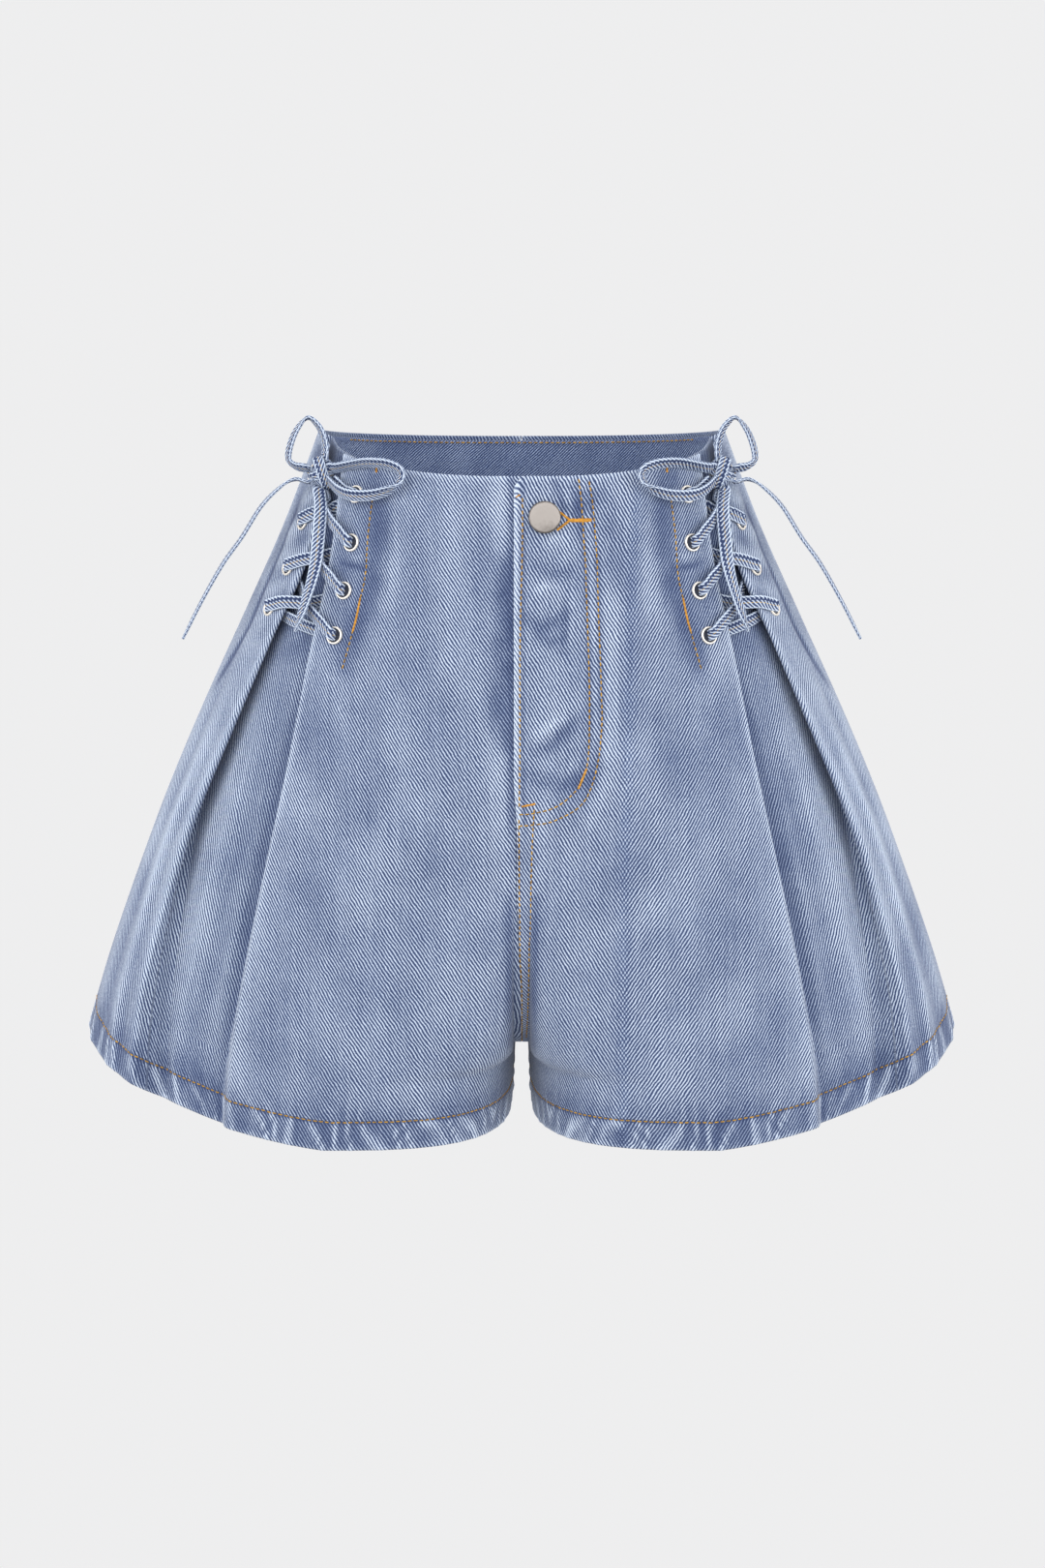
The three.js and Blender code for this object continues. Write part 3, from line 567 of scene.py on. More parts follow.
# %% Creases
# the fly's two rows of stitches, each point as x from the middle in mm and share of the way down
J_INNER = [
    (31.2, 0.004), (32.8, 0.041), (33.8, 0.083), (34.9, 0.125), (35.4, 0.167), (37.1, 0.293), (37.1, 0.385),
    (35.6, 0.426), (30.8, 0.456), (19.6, 0.482), (6.8, 0.492), (-2.0, 0.494),
]
J_OUTER = [
    (37.0, 0.008), (39.1, 0.047), (41.3, 0.122), (41.8, 0.168), (43.5, 0.294), (44.0, 0.365), (40.9, 0.430),
    (33.5, 0.478), (18.5, 0.503), (6.8, 0.509), (-2.4, 0.511),
]
# points like those, then the width in mm, the lift in mm and the change of wear and painted shade
CREASES_BOTH = [
    # the first three rows, along the lacing's strip, are painted shade of the valley beside its stitching and
    # of the laces over it
    ([(81, 0.02), (79, 0.066), (79.5, 0.115), (83.5, 0.165)], 6.5, -1.0, -0.85),
    ([(82.5, 0.17), (88, 0.209), (93.5, 0.252), (98.5, 0.292)], 5.8, -1.2, -0.95),
    ([(93, 0.04), (96, 0.11), (100, 0.18), (106, 0.25)], 7.5, -0.3, -0.42),
    ([(70, 0.08), (70, 0.14), (72, 0.20)], 4.5, 0.3, 0.30),
    ([(90, 0.30), (82, 0.37), (79, 0.46)], 11, -0.6, -0.32),
    ([(99, 0.150), (92, 0.152), (84, 0.148)], 1.8, -0.5, -0.7),
    ([(99, 0.139), (92, 0.141), (86, 0.138)], 2.2, 0.3, 0.35),
    ([(74, 0.0), (67, 0.03), (61, 0.06)], 10, 0.6, 0.20),
    ([(60, 0.10), (57, 0.17), (60, 0.25)], 11, -0.4, -0.14),
    ([(62, 0.40), (66, 0.50), (72, 0.60), (80, 0.70)], 17, 0.8, 0.12),
    ([(112, 0.40), (110, 0.52), (115, 0.66), (121, 0.78)], 13, -0.7, -0.14),
    ([(60, 0.46), (54, 0.58), (55, 0.70), (60, 0.82)], 20, -0.8, -0.10),
    ([(36, 0.62), (33, 0.74), (35, 0.86)], 14, 0.6, 0.12),
    ([(146, 0.63), (149.4, 0.697), (156.1, 0.785), (158.9, 0.871), (161, 0.95)], 6.5, 1.1, 0.30),
    ([(133, 0.72), (139, 0.82), (143, 0.92)], 9, -0.8, -0.18),
    ([(17, 0.34), (14.5, 0.421), (11.5, 0.50), (10.5, 0.58)], 5.5, 0.5, 0.28),
    ([(22, 0.52), (20, 0.60), (16, 0.70)], 8, -0.4, -0.05),
    ([(7.5, 0.62), (6.5, 0.743), (6.5, 0.86)], 2.4, -0.3, -0.75),
]
CREASES_RIGHT = [
    ([(8.5, 0.130), (10.2, 0.175), (9.0, 0.205)], 4.5, -0.5, -0.75),
    ([(8, 0.215), (12.0, 0.255), (11.5, 0.275)], 4.8, -0.5, -0.7),
    ([(8, 0.285), (14.0, 0.325), (12.5, 0.36), (9, 0.39)], 5.5, -0.6, -0.75),
    ([(12, 0.0), (13, 0.05), (11, 0.10)], 4.5, 0.4, 0.5),
    ([(24, 0.03), (26, 0.10), (22, 0.17)], 7, -0.5, -0.25),
    ([(36, 0.02), (38, 0.10), (34, 0.2), (36, 0.3)], 11, 0.5, 0.18),
]
CREASES_LEFT = [
    ([(8, 0.130), (16, 0.142), (26, 0.140)], 3.6, -0.35, -0.45),
    ([(7, 0.168), (12, 0.161), (17, 0.158)], 2.0, 0.35, 0.55),
    ([(3, 0.208), (10, 0.220), (18, 0.214), (26, 0.198)], 3.2, -0.5, -0.55),
    ([(9, 0.232), (15, 0.242), (22, 0.236)], 2.6, -0.3, -0.40),
    ([(20, 0.044), (28, 0.047), (36, 0.041), (42, 0.030)], 5.2, -0.4, -0.60),
    ([(5, 0.436), (15, 0.448), (25, 0.448), (36, 0.443), (43, 0.425)], 5.0, -0.5, -0.60),
    ([(26.5, 0.175), (27.0, 0.205), (25.0, 0.25)], 2.2, 0.5, 0.25),
    ([(24.0, 0.178), (24.6, 0.212), (22.6, 0.255)], 2.0, -0.4, -0.5),
    ([(9, 0.376), (15, 0.366), (22, 0.352)], 3.0, 0.45, 0.55),
    ([(8, 0.402), (15, 0.395), (24, 0.372), (30, 0.355)], 3.4, -0.45, -0.7),
    ([(14, 0.098), (18, 0.088), (24, 0.090)], 2.4, 0.35, 0.45),
    ([(22, 0.022), (25, 0.036), (27, 0.045)], 2.2, 0.4, 0.6),
    ([(18, 0.010), (22, 0.028), (23.5, 0.044)], 2.4, -0.4, -0.7),
    ([(29, 0.018), (31, 0.05), (32, 0.09)], 2.6, -0.2, -0.6),
    ([(47, 0.04), (49, 0.09), (50, 0.16)], 5.0, -0.3, -0.45),
    ([(48, 0.10), (50, 0.20), (49, 0.30), (49, 0.37), (46, 0.45), (38, 0.51)], 4.5, 0.4, 0.46),
    ([(35.0, 0.06), (37.8, 0.12), (40.0, 0.25), (40.5, 0.38)], 2.6, 0.2, 0.22),
    ([(15, 0.46), (22, 0.44), (29, 0.42)], 3.0, 0.3, 0.3),
    ([J_INNER[at] for at in (0, 2, 4, 5, 6, 8)], 1.4, -0.3, -0.55),
    ([J_OUTER[at] for at in (0, 2, 4, 5, 6, 7)], 1.4, -0.3, -0.55),
]
LONG = WAIST["front"] - HEM["front"]


def stroke(points, x, down):
    """The distance in mm to a line on the cloth and the share of the way along it, rounded at its ends."""
    line = np.array([(px, py * LONG) for px, py in points], float)
    place = np.stack([x, down * LONG], axis=-1)
    best = np.full(x.shape, 1e9)
    share = np.zeros(x.shape)
    lengths = run_lengths(line)
    for at in range(len(line) - 1):
        a, ab = line[at], line[at + 1] - line[at]
        t = np.clip(((place - a) @ ab) / (ab @ ab), 0, 1)
        far = np.linalg.norm(place - a - t[..., None] * ab, axis=-1)
        nearer = far < best
        best = np.where(nearer, far, best)
        share = np.where(nearer, (lengths[at] + t * (lengths[at + 1] - lengths[at])) / lengths[-1], share)
    return best, share


def creased(creases, x, down):
    """The lift and the change of wear and painted shade that all the lines of a table give to the cloth."""
    lift, wear_and_shade = np.zeros(x.shape), np.zeros(x.shape)
    for points, width, height, tone in creases:
        far, share = stroke(points, x, down)
        deep = 0.55 + 0.45 * np.sin(np.pi * np.clip(share, 0.02, 0.98))
        worn = 0.5 + 0.5 * np.sin(np.pi * np.clip(share, 0.04, 0.96))
        lift += height * (bell(far, width) * deep)
        wear_and_shade += tone * bell(far, width * 1.1) * worn
    return lift, wear_and_shade


ROPE = {"pitch": 11.5, "slope": 0.35, "lift": 0.42, "wear_and_shade": 0.80, "thread": 1.4, "groove": 1.1, "above": 9.0}


def roping(u, down, v):
    """Slanting ripples of a hem that has shrunk round its thread: lift and wear, with painted shade in the
    groove under the thread.
    """
    inside = smooth(down, HEM_START - 0.001, HEM_START + 0.006)
    phase = (u + ROPE["slope"] * (v - HEM_START * LONG)) / ROPE["pitch"] + 0.55 * wander(u / 41, v / 60, 4)
    ridge = np.maximum(np.sin(2 * np.pi * phase), 0) ** 2
    wave = (1.9 * ridge - 0.75) * (0.70 + 0.40 * wander(u / 23, v / 90, 5))
    above = bell((HEM_START - down) * LONG, ROPE["above"]) * (down < HEM_START)
    edge = smooth(down, 1 - 3.2 / LONG, 1 - 0.8 / LONG)
    groove = bell((down - HEM_START - ROPE["thread"] / LONG) * LONG, ROPE["groove"])
    lift = inside * ROPE["lift"] * wave + above * 0.2 * wave - 0.35 * groove
    # the groove under the thread is painted darker, as shade
    wear_and_shade = inside * (ROPE["wear_and_shade"] * wave - 0.10) + above * (0.25 * wave - 0.32) + 0.40 * edge - 1.0 * groove
    return lift, wear_and_shade


print("creases on each front:", len(CREASES_BOTH) + len(CREASES_RIGHT), len(CREASES_BOTH) + len(CREASES_LEFT))

# %% [markdown]
# ## Fronts
# Each front is one piece of cloth from the middle to the side seam. It is folded back under itself at the
# front edge of the pleat, crosses behind, and comes forward again under the rear edge.
# The path across is worked out at each height as a distance on the surface and a depth below it.

# %% Fronts
# the kinds of column across a front: seen cloth, a fold's turn, cloth behind it, the pleat's bottom
FACE, FOLD, UNDER, PLEAT = range(4)
SPANS = {"front": 104, "fold": 8, "under": 5, "pleat": 24, "side": 40}
WAIST_EDGE = 2.2
# how far the wear and the painted shade and light reach beside each fold, seam and row, in mm; gap and slit
# are painted shade
WEAR_AND_SHADE_REACH = {"front": 3.2, "rear": 3.0, "side": 1.4, "line": 0.6, "slit": 1.8, "edge": 2.0, "row": 1.0, "gap": 3.0}
HEM_ROUND = {"lift": 0.55, "over": 1.1}
SOFT_REACH = 11.0
SOFT_SHARE = 0.95
SOFT_LEVELS = (0.42, 0.96)
WEAVE_ACROSS = 0.3
WEAVE_SHIFT = {"pleat": 300.0, "flank": 700.0}
OUTER_DEPTH, INNER_DEPTH = 1.8, 3.3
# how far in front of the side, in mm seen from the front, the side seam shows as a line
SEAM_LINE = ((0.10, 0.16, 0.30, 0.38, 0.44), (2.4, 2.8, 3.8, 2.0, 0.6))
# each fold's share across and share down at its top and at its foot, then width, lift, and change of wear and
# painted shade
PLEAT_FOLDS = (
    # in the pleat the darker rows are partly painted shade of its hollows, and the row at 0.93 is painted
    # light against the shade under the rear fold
    ((0.10, 0.30), (0.12, 0.95), 0.10, -0.5, -0.30), ((0.18, 0.34), (0.20, 0.70), 0.10, -0.8, -0.30),
    ((0.42, 0.40), (0.46, 0.95), 0.14, -0.9, -0.20), ((0.72, 0.45), (0.74, 1.0), 0.12, 0.9, 0.22),
    ((0.93, 0.38), (0.95, 0.95), 0.07, 0.4, 0.30), ((0.30, 0.62), (0.16, 1.02), 0.08, 1.0, 0.22),
)
FLANK_FOLDS = (
    ((0.16, 0.40), (0.20, 0.98), 0.06, -0.6, -0.22), ((0.34, 0.45), (0.32, 1.0), 0.06, 0.8, 0.42),
    ((0.55, 0.30), (0.52, 0.90), 0.07, -0.7, -0.26), ((0.74, 0.35), (0.70, 1.0), 0.07, 0.6, 0.12),
)
ROWS = np.unique(np.concatenate([
    np.linspace(0, 0.06, 17), np.linspace(0.06, 0.9, 120), np.linspace(0.9, HEM_START - 0.004, 10),
    np.linspace(HEM_START - 0.004, HEM_START + 0.008, 7), np.linspace(HEM_START + 0.008, 0.994, 7),
    [0.9965, 0.9985, 1.0],
]))


def turned(centre, depth, radius, away, downwards, steps):
    angle = np.linspace(0, math.pi, steps + 1)[1:-1]
    across, deep = away * radius * np.sin(angle), downwards * radius * np.cos(angle)
    return np.column_stack([centre + across, depth - deep, np.full(steps - 1, FOLD)])


def level_run(start, end, depth, count, kind):
    run = np.linspace(start, end, count + 1)
    return np.column_stack([run, np.full(count + 1, depth), np.full(count + 1, kind)])


def front_path(down, left):
    """Columns across a front at a height, each its distance, depth and kind."""
    front, rear = float(fold_at("front", down)), float(fold_at("rear", down))
    side = float(side_at("front", down))
    under, turn, deep = (float(shape(name, down)) for name in ("under", "turn", "deep"))
    back = 2 * turn
    lower = (deep - back) / 2
    edge = float(front_edge(down, left))
    start = 0.0 if edge < -0.1 else edge + 1.5
    inside = np.concatenate([
        np.linspace(edge, start, 6)[:-1], np.linspace(start, front - turn, SPANS["front"] + 1),
    ])
    crisp = np.concatenate([
        np.column_stack([inside, np.zeros(len(inside)), np.full(len(inside), FACE)]),
        turned(front - turn, turn, turn, 1, 1, SPANS["fold"]),
        level_run(front - turn, front - under, back, SPANS["under"], UNDER),
        turned(front - under, (back + deep) / 2, lower, -1, 1, SPANS["fold"]),
        level_run(front - under, rear + under, deep, SPANS["pleat"], PLEAT),
        turned(rear + under, (back + deep) / 2, lower, 1, -1, SPANS["fold"]),
        level_run(rear + under, rear + turn, back, SPANS["under"], UNDER),
        turned(rear + turn, turn, turn, -1, -1, SPANS["fold"]),
        level_run(rear + turn, side, 0.0, SPANS["side"], FACE),
    ])
    return eased(crisp, len(inside), down, (front, rear, turn, deep))


def eased(crisp, inside, down, sizes):
    """Towards the hem nothing holds the folds shut, so each one opens into a soft bend."""
    front, rear, turn, deep = sizes
    bend = 2 * (SPANS["fold"] - 1) + SPANS["under"] + 1
    t = np.arange(1, bend + 1) / (bend + 1)
    soft = crisp.copy()
    rise = t * t * (3 - 2 * t)
    run = slice(inside, inside + bend)
    soft[run, 0], soft[run, 1] = mix(front - turn, front + SOFT_REACH, t), deep * rise
    pleat = slice(inside + bend, inside + bend + SPANS["pleat"] + 1)
    soft[pleat, 0] = np.linspace(front + SOFT_REACH, rear - SOFT_REACH, SPANS["pleat"] + 1)
    run = slice(pleat.stop, pleat.stop + bend)
    soft[run, 0], soft[run, 1] = mix(rear - SOFT_REACH, rear + turn, t), deep * (1 - rise)
    made = mix(crisp, soft, SOFT_SHARE * float(smooth(down, *SOFT_LEVELS)))
    made[:, 2] = crisp[:, 2]
    return made


def folded(rows, share, down, fade):
    """Lengthwise hollows and ridges of a strip of cloth, share running across it from its front edge."""
    lift, wear_and_shade = np.zeros(share.shape), np.zeros(share.shape)
    for (s0, d0), (s1, d1), width, height, tone in rows:
        t = np.clip((down - d0) / (d1 - d0), 0, 1)
        near = bell(share - mix(s0, s1, t), width) * smooth(down, d0 - 0.1, d0 + fade)
        lift += height * near
        wear_and_shade += tone * near
    return lift, wear_and_shade


def cloth_map(plain, down, parts, mirrored):
    """Where each place lies on the weave. It is counted from the folds, so that it runs straight down."""
    lengths = cloth_lengths(plain)
    u = lengths[..., 0].copy()
    x = np.abs(plain[..., 0])
    fold, pleat, flank = parts
    lengths[:, :pleat, 0] = u[:, :pleat] - u[:, fold][:, None] + x[:, fold][:, None]
    for strip, first, last, anchor in (("pleat", pleat, flank, pleat + 10), ("flank", flank, None, -1)):
        arc = u[:, first:last] - u[:, anchor][:, None]
        across = WEAVE_ACROSS * x[:, first:last] + (1 - WEAVE_ACROSS) * arc
        lengths[:, first:last, 0] = across + WEAVE_SHIFT[strip]
    lengths[..., 1] = -down * LONG
    if mirrored:
        lengths[..., 0] *= -1
    return lengths


def column(values):
    return np.asarray(values)[:, None]


def front_marks(left, at):
    """Lift and wear of a front's creases, folds and side seam, with painted shade and painted light in the
    wear.
    """
    down, along, depth = at.down, at.along, at.depth
    ahead = along < at.front + 5
    face, rear_part, in_pleat = (at.kind == FACE) & ahead, (at.kind == FACE) & ~ahead, at.kind == PLEAT
    lift, wear_and_shade = creased(CREASES_BOTH + (CREASES_LEFT if left else CREASES_RIGHT), at.x, down)
    lift, wear_and_shade = np.where(face, lift, 0), np.where(face, wear_and_shade, 0)
    # the pale lines along both fold edges are rubbed wear and partly a painted highlight; beside the rear
    # fold they are also painted light against the shade under it
    near_front = bell(along - at.front, WEAR_AND_SHADE_REACH["front"]) * (depth < OUTER_DEPTH)
    near_rear = bell(along - at.rear, WEAR_AND_SHADE_REACH["rear"]) * (depth < OUTER_DEPTH)
    wear_and_shade = wear_and_shade + near_front * mix(0.75, 0.30, smooth(down, 0.25, 0.9))
    wear_and_shade = wear_and_shade + near_rear * 0.50 * (along > at.rear - 3)
    # painted light: the flank behind the pleat, turned away from the lamps, is lightened between a quarter
    # and two thirds of the way down
    wear_and_shade = wear_and_shade + 0.22 * rear_part * smooth(down, 0.25, 0.5) * (1 - smooth(down, 0.68, 0.84))
    across = np.clip((along - at.front) / np.maximum(at.rear - at.front, 1), -0.4, 1.4)
    pleat_lift, pleat_wear_and_shade = folded(PLEAT_FOLDS, across, down, 0.12)
    lift = np.where(in_pleat, pleat_lift, lift)
    # painted shade: the pleat is darker near its top, behind the eyelet strips and the laces
    wear_and_shade = np.where(in_pleat, pleat_wear_and_shade - 0.04 - 0.55 * (1 - smooth(down, 0.22, 0.36)), wear_and_shade)
    # painted shade: the deep turns of the folds inside the pleat are darker in the upper half
    wear_and_shade = wear_and_shade - 0.5 * (1 - smooth(down, 0.40, 0.65)) * ((at.kind == FOLD) & (depth > INNER_DEPTH))
    across = np.clip((along - at.rear) / np.maximum(at.side - at.rear, 1), 0, 1)
    flank_lift, flank_wear = folded(FLANK_FOLDS, across, down, 0.15)
    lift = np.where(rear_part, flank_lift, lift)
    wear_and_shade = np.where(rear_part, wear_and_shade + flank_wear, wear_and_shade)
    crumple = wander(at.u / 17, at.v / 26, 8) * (1 - smooth(down, 0.16, 0.36)) * (rear_part | in_pleat)
    lift, wear_and_shade = lift + 0.45 * crumple, wear_and_shade + 0.42 * crumple
    inset = shape("half", down) - at.x - np.interp(down, SEAM_LINE[0], SEAM_LINE[1])
    seam_line = bell(inset, WEAR_AND_SHADE_REACH["line"]) * smooth(down, 0.08, 0.14) * (1 - smooth(down, 0.38, 0.44))
    lift = lift - 0.5 * seam_line * rear_part
    wear_and_shade = wear_and_shade + 0.30 * bell(at.side - along, WEAR_AND_SHADE_REACH["side"]) - 1.1 * seam_line * rear_part
    # painted shade in the notch beside the rear fold, in the hem
    wear_and_shade = wear_and_shade - 0.7 * bell(along - at.rear - 2.6, WEAR_AND_SHADE_REACH["slit"]) * smooth(down, 0.92, 0.97)
    return lift, wear_and_shade


def front_edges(left, at, lift, wear_and_shade):
    """The same lift and wear with the hem, the waist's edge and the fly added; the wear holds painted shade
    under the fly's edge and a painted highlight along the edges.
    """
    down, along = at.down, at.along
    hem_lift, hem_wear_and_shade = roping(at.u, down, at.v)
    lift = lift + np.where(at.depth < 3, hem_lift, 0.5 * hem_lift)
    wear_and_shade = wear_and_shade + hem_wear_and_shade + 0.25 * smooth(down, HEM_START, HEM_START + 0.01) * (1 - smooth(at.x, 25, 60))
    # the pale waist edge here, and the pale fly edge below, are rubbed wear and partly a painted highlight
    wear_and_shade = wear_and_shade + 0.40 * bell(down * LONG, WAIST_EDGE) + 0.12 * wander(at.u / 60, at.v / 75, 11)
    in_fly = 1 - smooth(down, FLY["foot"], FLY["foot"] + 0.04)
    if left:
        wear_and_shade = wear_and_shade + 1.0 * in_fly * bell(along - at.edge - 0.6, WEAR_AND_SHADE_REACH["edge"])
        wear_and_shade = wear_and_shade - 0.65 * in_fly * bell(along - at.edge - 4.6, WEAR_AND_SHADE_REACH["row"])
    else:
        # painted shadow: the right front is darker where the left front's fly edge laps over it
        wear_and_shade = wear_and_shade - 0.55 * in_fly * bell(at.x - 5.5, WEAR_AND_SHADE_REACH["gap"])
    lift = lift - HEM_ROUND["lift"] * smooth(down, 1 - HEM_ROUND["over"] / LONG, 1)
    return lift * smooth(at.side - along, 0, 6) * smooth(along - at.edge, 0, 3), wear_and_shade


def front_piece(left):
    name = "front_left" if left else "front_right"
    paths = np.array([front_path(down, left) for down in ROWS])
    along, depth, kind = paths[..., 0], paths[..., 1], paths[..., 2]
    down = np.repeat(ROWS[:, None], along.shape[1], axis=1)
    plain = placed("front", down, along, depth)
    fold_starts = int(np.argmax(kind[0] == FOLD))
    pleat_starts = int(np.argmax(kind[0] == UNDER)) + SPANS["under"] // 2
    flank_starts = along.shape[1] - (SPANS["side"] + 1) - (SPANS["fold"] - 1) - SPANS["under"] // 2
    lengths = cloth_map(plain, down, (fold_starts, pleat_starts, flank_starts), not left)
    at = SimpleNamespace(
        down=down, along=along, depth=depth, kind=kind, x=np.abs(plain[..., 0]),
        u=np.abs(lengths[..., 0]), v=-lengths[..., 1],
        front=column(fold_at("front", ROWS)), rear=column(fold_at("rear", ROWS)),
        side=column(side_at("front", ROWS)), edge=column(front_edge(ROWS, left)),
    )
    lift, wear_and_shade = front_edges(left, at, *front_marks(left, at))
    piece = grid_piece(
        name + "_cloth", front_place(left, down, along, lift - depth), lengths,
        lambda place: (place[0] * 0.2, -1.0, 0.1), DENIM[name], {"wear_and_shade": np.clip(wear_and_shade, -1.1, 1.1)},
    )
    hemmed(piece, down)
    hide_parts(name)
    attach(piece, "root")
    return piece


def hemmed(piece, down):
    """Gives a panel its thickness, with the hem's double cloth below its stitches."""
    group = piece.vertex_groups.new(name="thick")
    hem = smooth(down, HEM_START - 0.002, HEM_START + 0.004).ravel()
    for at in range(len(piece.data.vertices)):
        group.add([at], float(hem[at]), "REPLACE")
    thicken(piece, HEM_CLOTH, thin=CLOTH / HEM_CLOTH)


fronts = {side: front_piece(left) for side, left in BOTH}
print("front vertices", len(fronts["left"].data.vertices), "faces", len(fronts["left"].data.polygons))

# %% [markdown]
# ## Backs, facing and fly shield
# The backs are plain: one piece each, with a middle seam that turns under at the crotch.
# The waist is finished inside with a facing of the same denim, seen over the front edge.
# A shield lies behind the fly, as on any buttoned or zipped front.

# %% Backs, facing and fly shield
def back_place(left, down, along, depth):
    made = placed("back", down, along, depth)
    if not left:
        made[..., 0] *= -1
    return made


def back_piece(left):
    name = "back_left" if left else "back_right"
    side = np.asarray(side_at("back", ROWS))
    edge = np.asarray(inner_edge(ROWS, 0.0))
    start = np.where(edge < -0.1, 0.0, edge + 1.5)
    along = np.array([
        np.concatenate([np.linspace(first, then, 4)[:-1], np.linspace(then, last, 97)])
        for first, then, last in zip(edge, start, side)
    ])
    down = np.repeat(ROWS[:, None], along.shape[1], axis=1)
    plain = placed("back", down, along, np.zeros_like(along))
    lengths = cloth_lengths(plain)
    lengths[..., 0] += np.abs(plain[:, -1:, 0]) - lengths[:, -1:, 0]
    lengths[..., 1] = -down * LONG
    u, v = lengths[..., 0], -lengths[..., 1]
    share = along / side[:, None]
    lift = 1.1 * np.sin(share * 9.0 + 2.2 * down) * smooth(down, 0.25, 0.8)
    lift -= 0.9 * bell(share - 0.30, 0.05) * smooth(down, 0.3, 0.55) * (1 - smooth(down, 0.8, 0.95))
    hem_lift, hem_wear_and_shade = roping(u + 5, down, v)
    # painted shade: the back is darker along its top edge
    wear_and_shade = 0.12 * lift + hem_wear_and_shade - 0.30 * bell(down * LONG, WAIST_EDGE) + 0.12 * wander(u / 70, v / 80, 21)
    wear_and_shade += 0.35 * bell(along - edge[:, None], 3.0) + 0.3 * bell(side[:, None] - along, 4.0)
    lift = (lift + hem_lift) * smooth(side[:, None] - along, 0, 8) * smooth(along - edge[:, None], 0, 6)
    lift = lift - HEM_ROUND["lift"] * smooth(down, 1 - HEM_ROUND["over"] / LONG, 1)
    if not left:
        lengths[..., 0] *= -1
    made = back_place(left, down, along, -lift)
    piece = grid_piece(
        name + "_cloth", made, lengths, lambda place: (place[0] * 0.2, 1.0, 0.1), DENIM["back"],
        {"wear_and_shade": np.clip(wear_and_shade, -1, 1)},
    )
    hemmed(piece, down)
    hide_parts(name)
    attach(piece, "root")
    return piece


def inner_layer(name, cut, reach, span, depth, steps, material, inward):
    """A layer inside the garment. reach is how far it goes each side of the middle at a height."""
    (top, foot), (rows, columns) = span, steps
    down = np.repeat(np.linspace(top, foot, rows + 1)[:, None], columns + 1, axis=1)
    x = np.array([np.linspace(-reach[0](d), reach[1](d), columns + 1) for d in down[:, 0]])
    made = placed(cut, down, np.abs(x) - inner_at(down), np.full(x.shape, float(depth)))
    made[..., 0] *= np.where(x < 0, -1, 1)
    # painted shade: each inner layer is darker along its top edge
    wear_and_shade = 0.12 * wander(x / 40, down * 6, 31) - 0.35 * bell((down - top) * LONG, 2.6)
    piece = grid_piece(name + "_cloth", made, cloth_lengths(made), inward, material, {"wear_and_shade": wear_and_shade})
    thicken(piece, CLOTH)
    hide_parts(name)
    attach(piece, "root")
    return piece


backs = {side: back_piece(left) for side, left in BOTH}
facing = inner_layer(
    "back_facing", "back", (lambda d: side_at("back", d), lambda d: side_at("back", d)), (0.006, 0.125), 1.9,
    (22, 160), DENIM["inside"], lambda place: (place[0] * 0.2, 1.0, 0.0),
)
shield = inner_layer(
    "fly_shield", "front", (lambda d: 14.0, lambda d: 40.0), (0.012, 0.5), 1.6,
    (60, 30), DENIM["back"], lambda place: (0.0, -1.0, 0.0),
)
print("back vertices", len(backs["left"].data.vertices), "facing", len(facing.data.vertices))

# %% [markdown]
# ## Laces
# Each lace is a strip of denim folded lengthwise and stitched along its open edge, so it is flat,
# with pale rubbed edges and a dark line of dashes beside a faint gold one. It bunches up in an eyelet.
# A tape is swept along its route as a closed tube, with the width's direction given at each place.

# %% Tapes
LACE = {"wide": 7.4, "thick": 1.8, "bunched_wide": 6.2, "bunched_thick": 2.6, "tip": 11.0}
LACE_STITCH = 2.6
LACE_THREAD = ((0.0, (0.62, 0.42, 0.10)), (0.2, (0.72, 0.50, 0.16)))
RING = 16


def lace_material():
    n = Nodes("lace_denim")
    place, u, v = n.cloth_place()
    wobble = n.times(n.uneven(place, 0.3, 2.0), 1.2)
    twill = n.math("SINE", n.plus(n.times(n.plus(u, wobble), 2.6), n.times(v, 2.3)))
    across = n.value("across")
    outer = n.math("ABSOLUTE", across)
    edge = n.step(outer, 0.68, 0.86)
    # painted shade: a dark line along the middle of each side edge, where the folded layers meet
    split_shade = n.times(n.band(n.value("over"), 0.0, 0.42), n.step(outer, 0.90, 0.97))
    dashes = n.step(n.math("SINE", n.times(v, 2 * math.pi / LACE_STITCH)), -0.7, -0.3)
    dark = n.math("MAXIMUM", n.times(n.band(across, 0.50, 0.26), dashes), split_shade)
    gold = n.times(n.band(across, -0.08, 0.10), dashes)
    grain = n.uneven(place, 1.4, 2.0, 0.75)
    tone = n.total(0.38, (twill, 0.58), (grain, 0.60), (edge, 0.70), (dark, -0.90))
    mixed = n.add(
        "ShaderNodeMix", {"data_type": "RGBA"}, i0=n.times(gold, 0.55), i6=n.ramp(tone, WASH),
        i7=n.ramp(grain, LACE_THREAD),
    )
    height = n.plus(n.times(twill, 0.4), n.minus(grain, dark))
    roughness = n.plus(0.88, n.times(grain, 0.18))
    return n.wired(mixed.outputs[2], roughness, n.bump(height, 0.00010, 0.8), COTTON)


LACE_DENIM = lace_material()


def spline(values, share):
    """A smooth curve through rows of numbers, at shares of the row number."""
    last = len(values) - 1
    low = np.minimum(share.astype(int), last - 1)
    t = (share - low)[:, None]
    padded = np.vstack([2 * values[0] - values[1], values, 2 * values[-1] - values[-2]])
    a, b, c, d = (padded[low + shift] for shift in range(4))
    bend = 2 * a - 5 * b + 4 * c - d
    return 0.5 * (2 * b + (c - a) * t + bend * t ** 2 + (3 * b - a - 3 * c + d) * t ** 3)


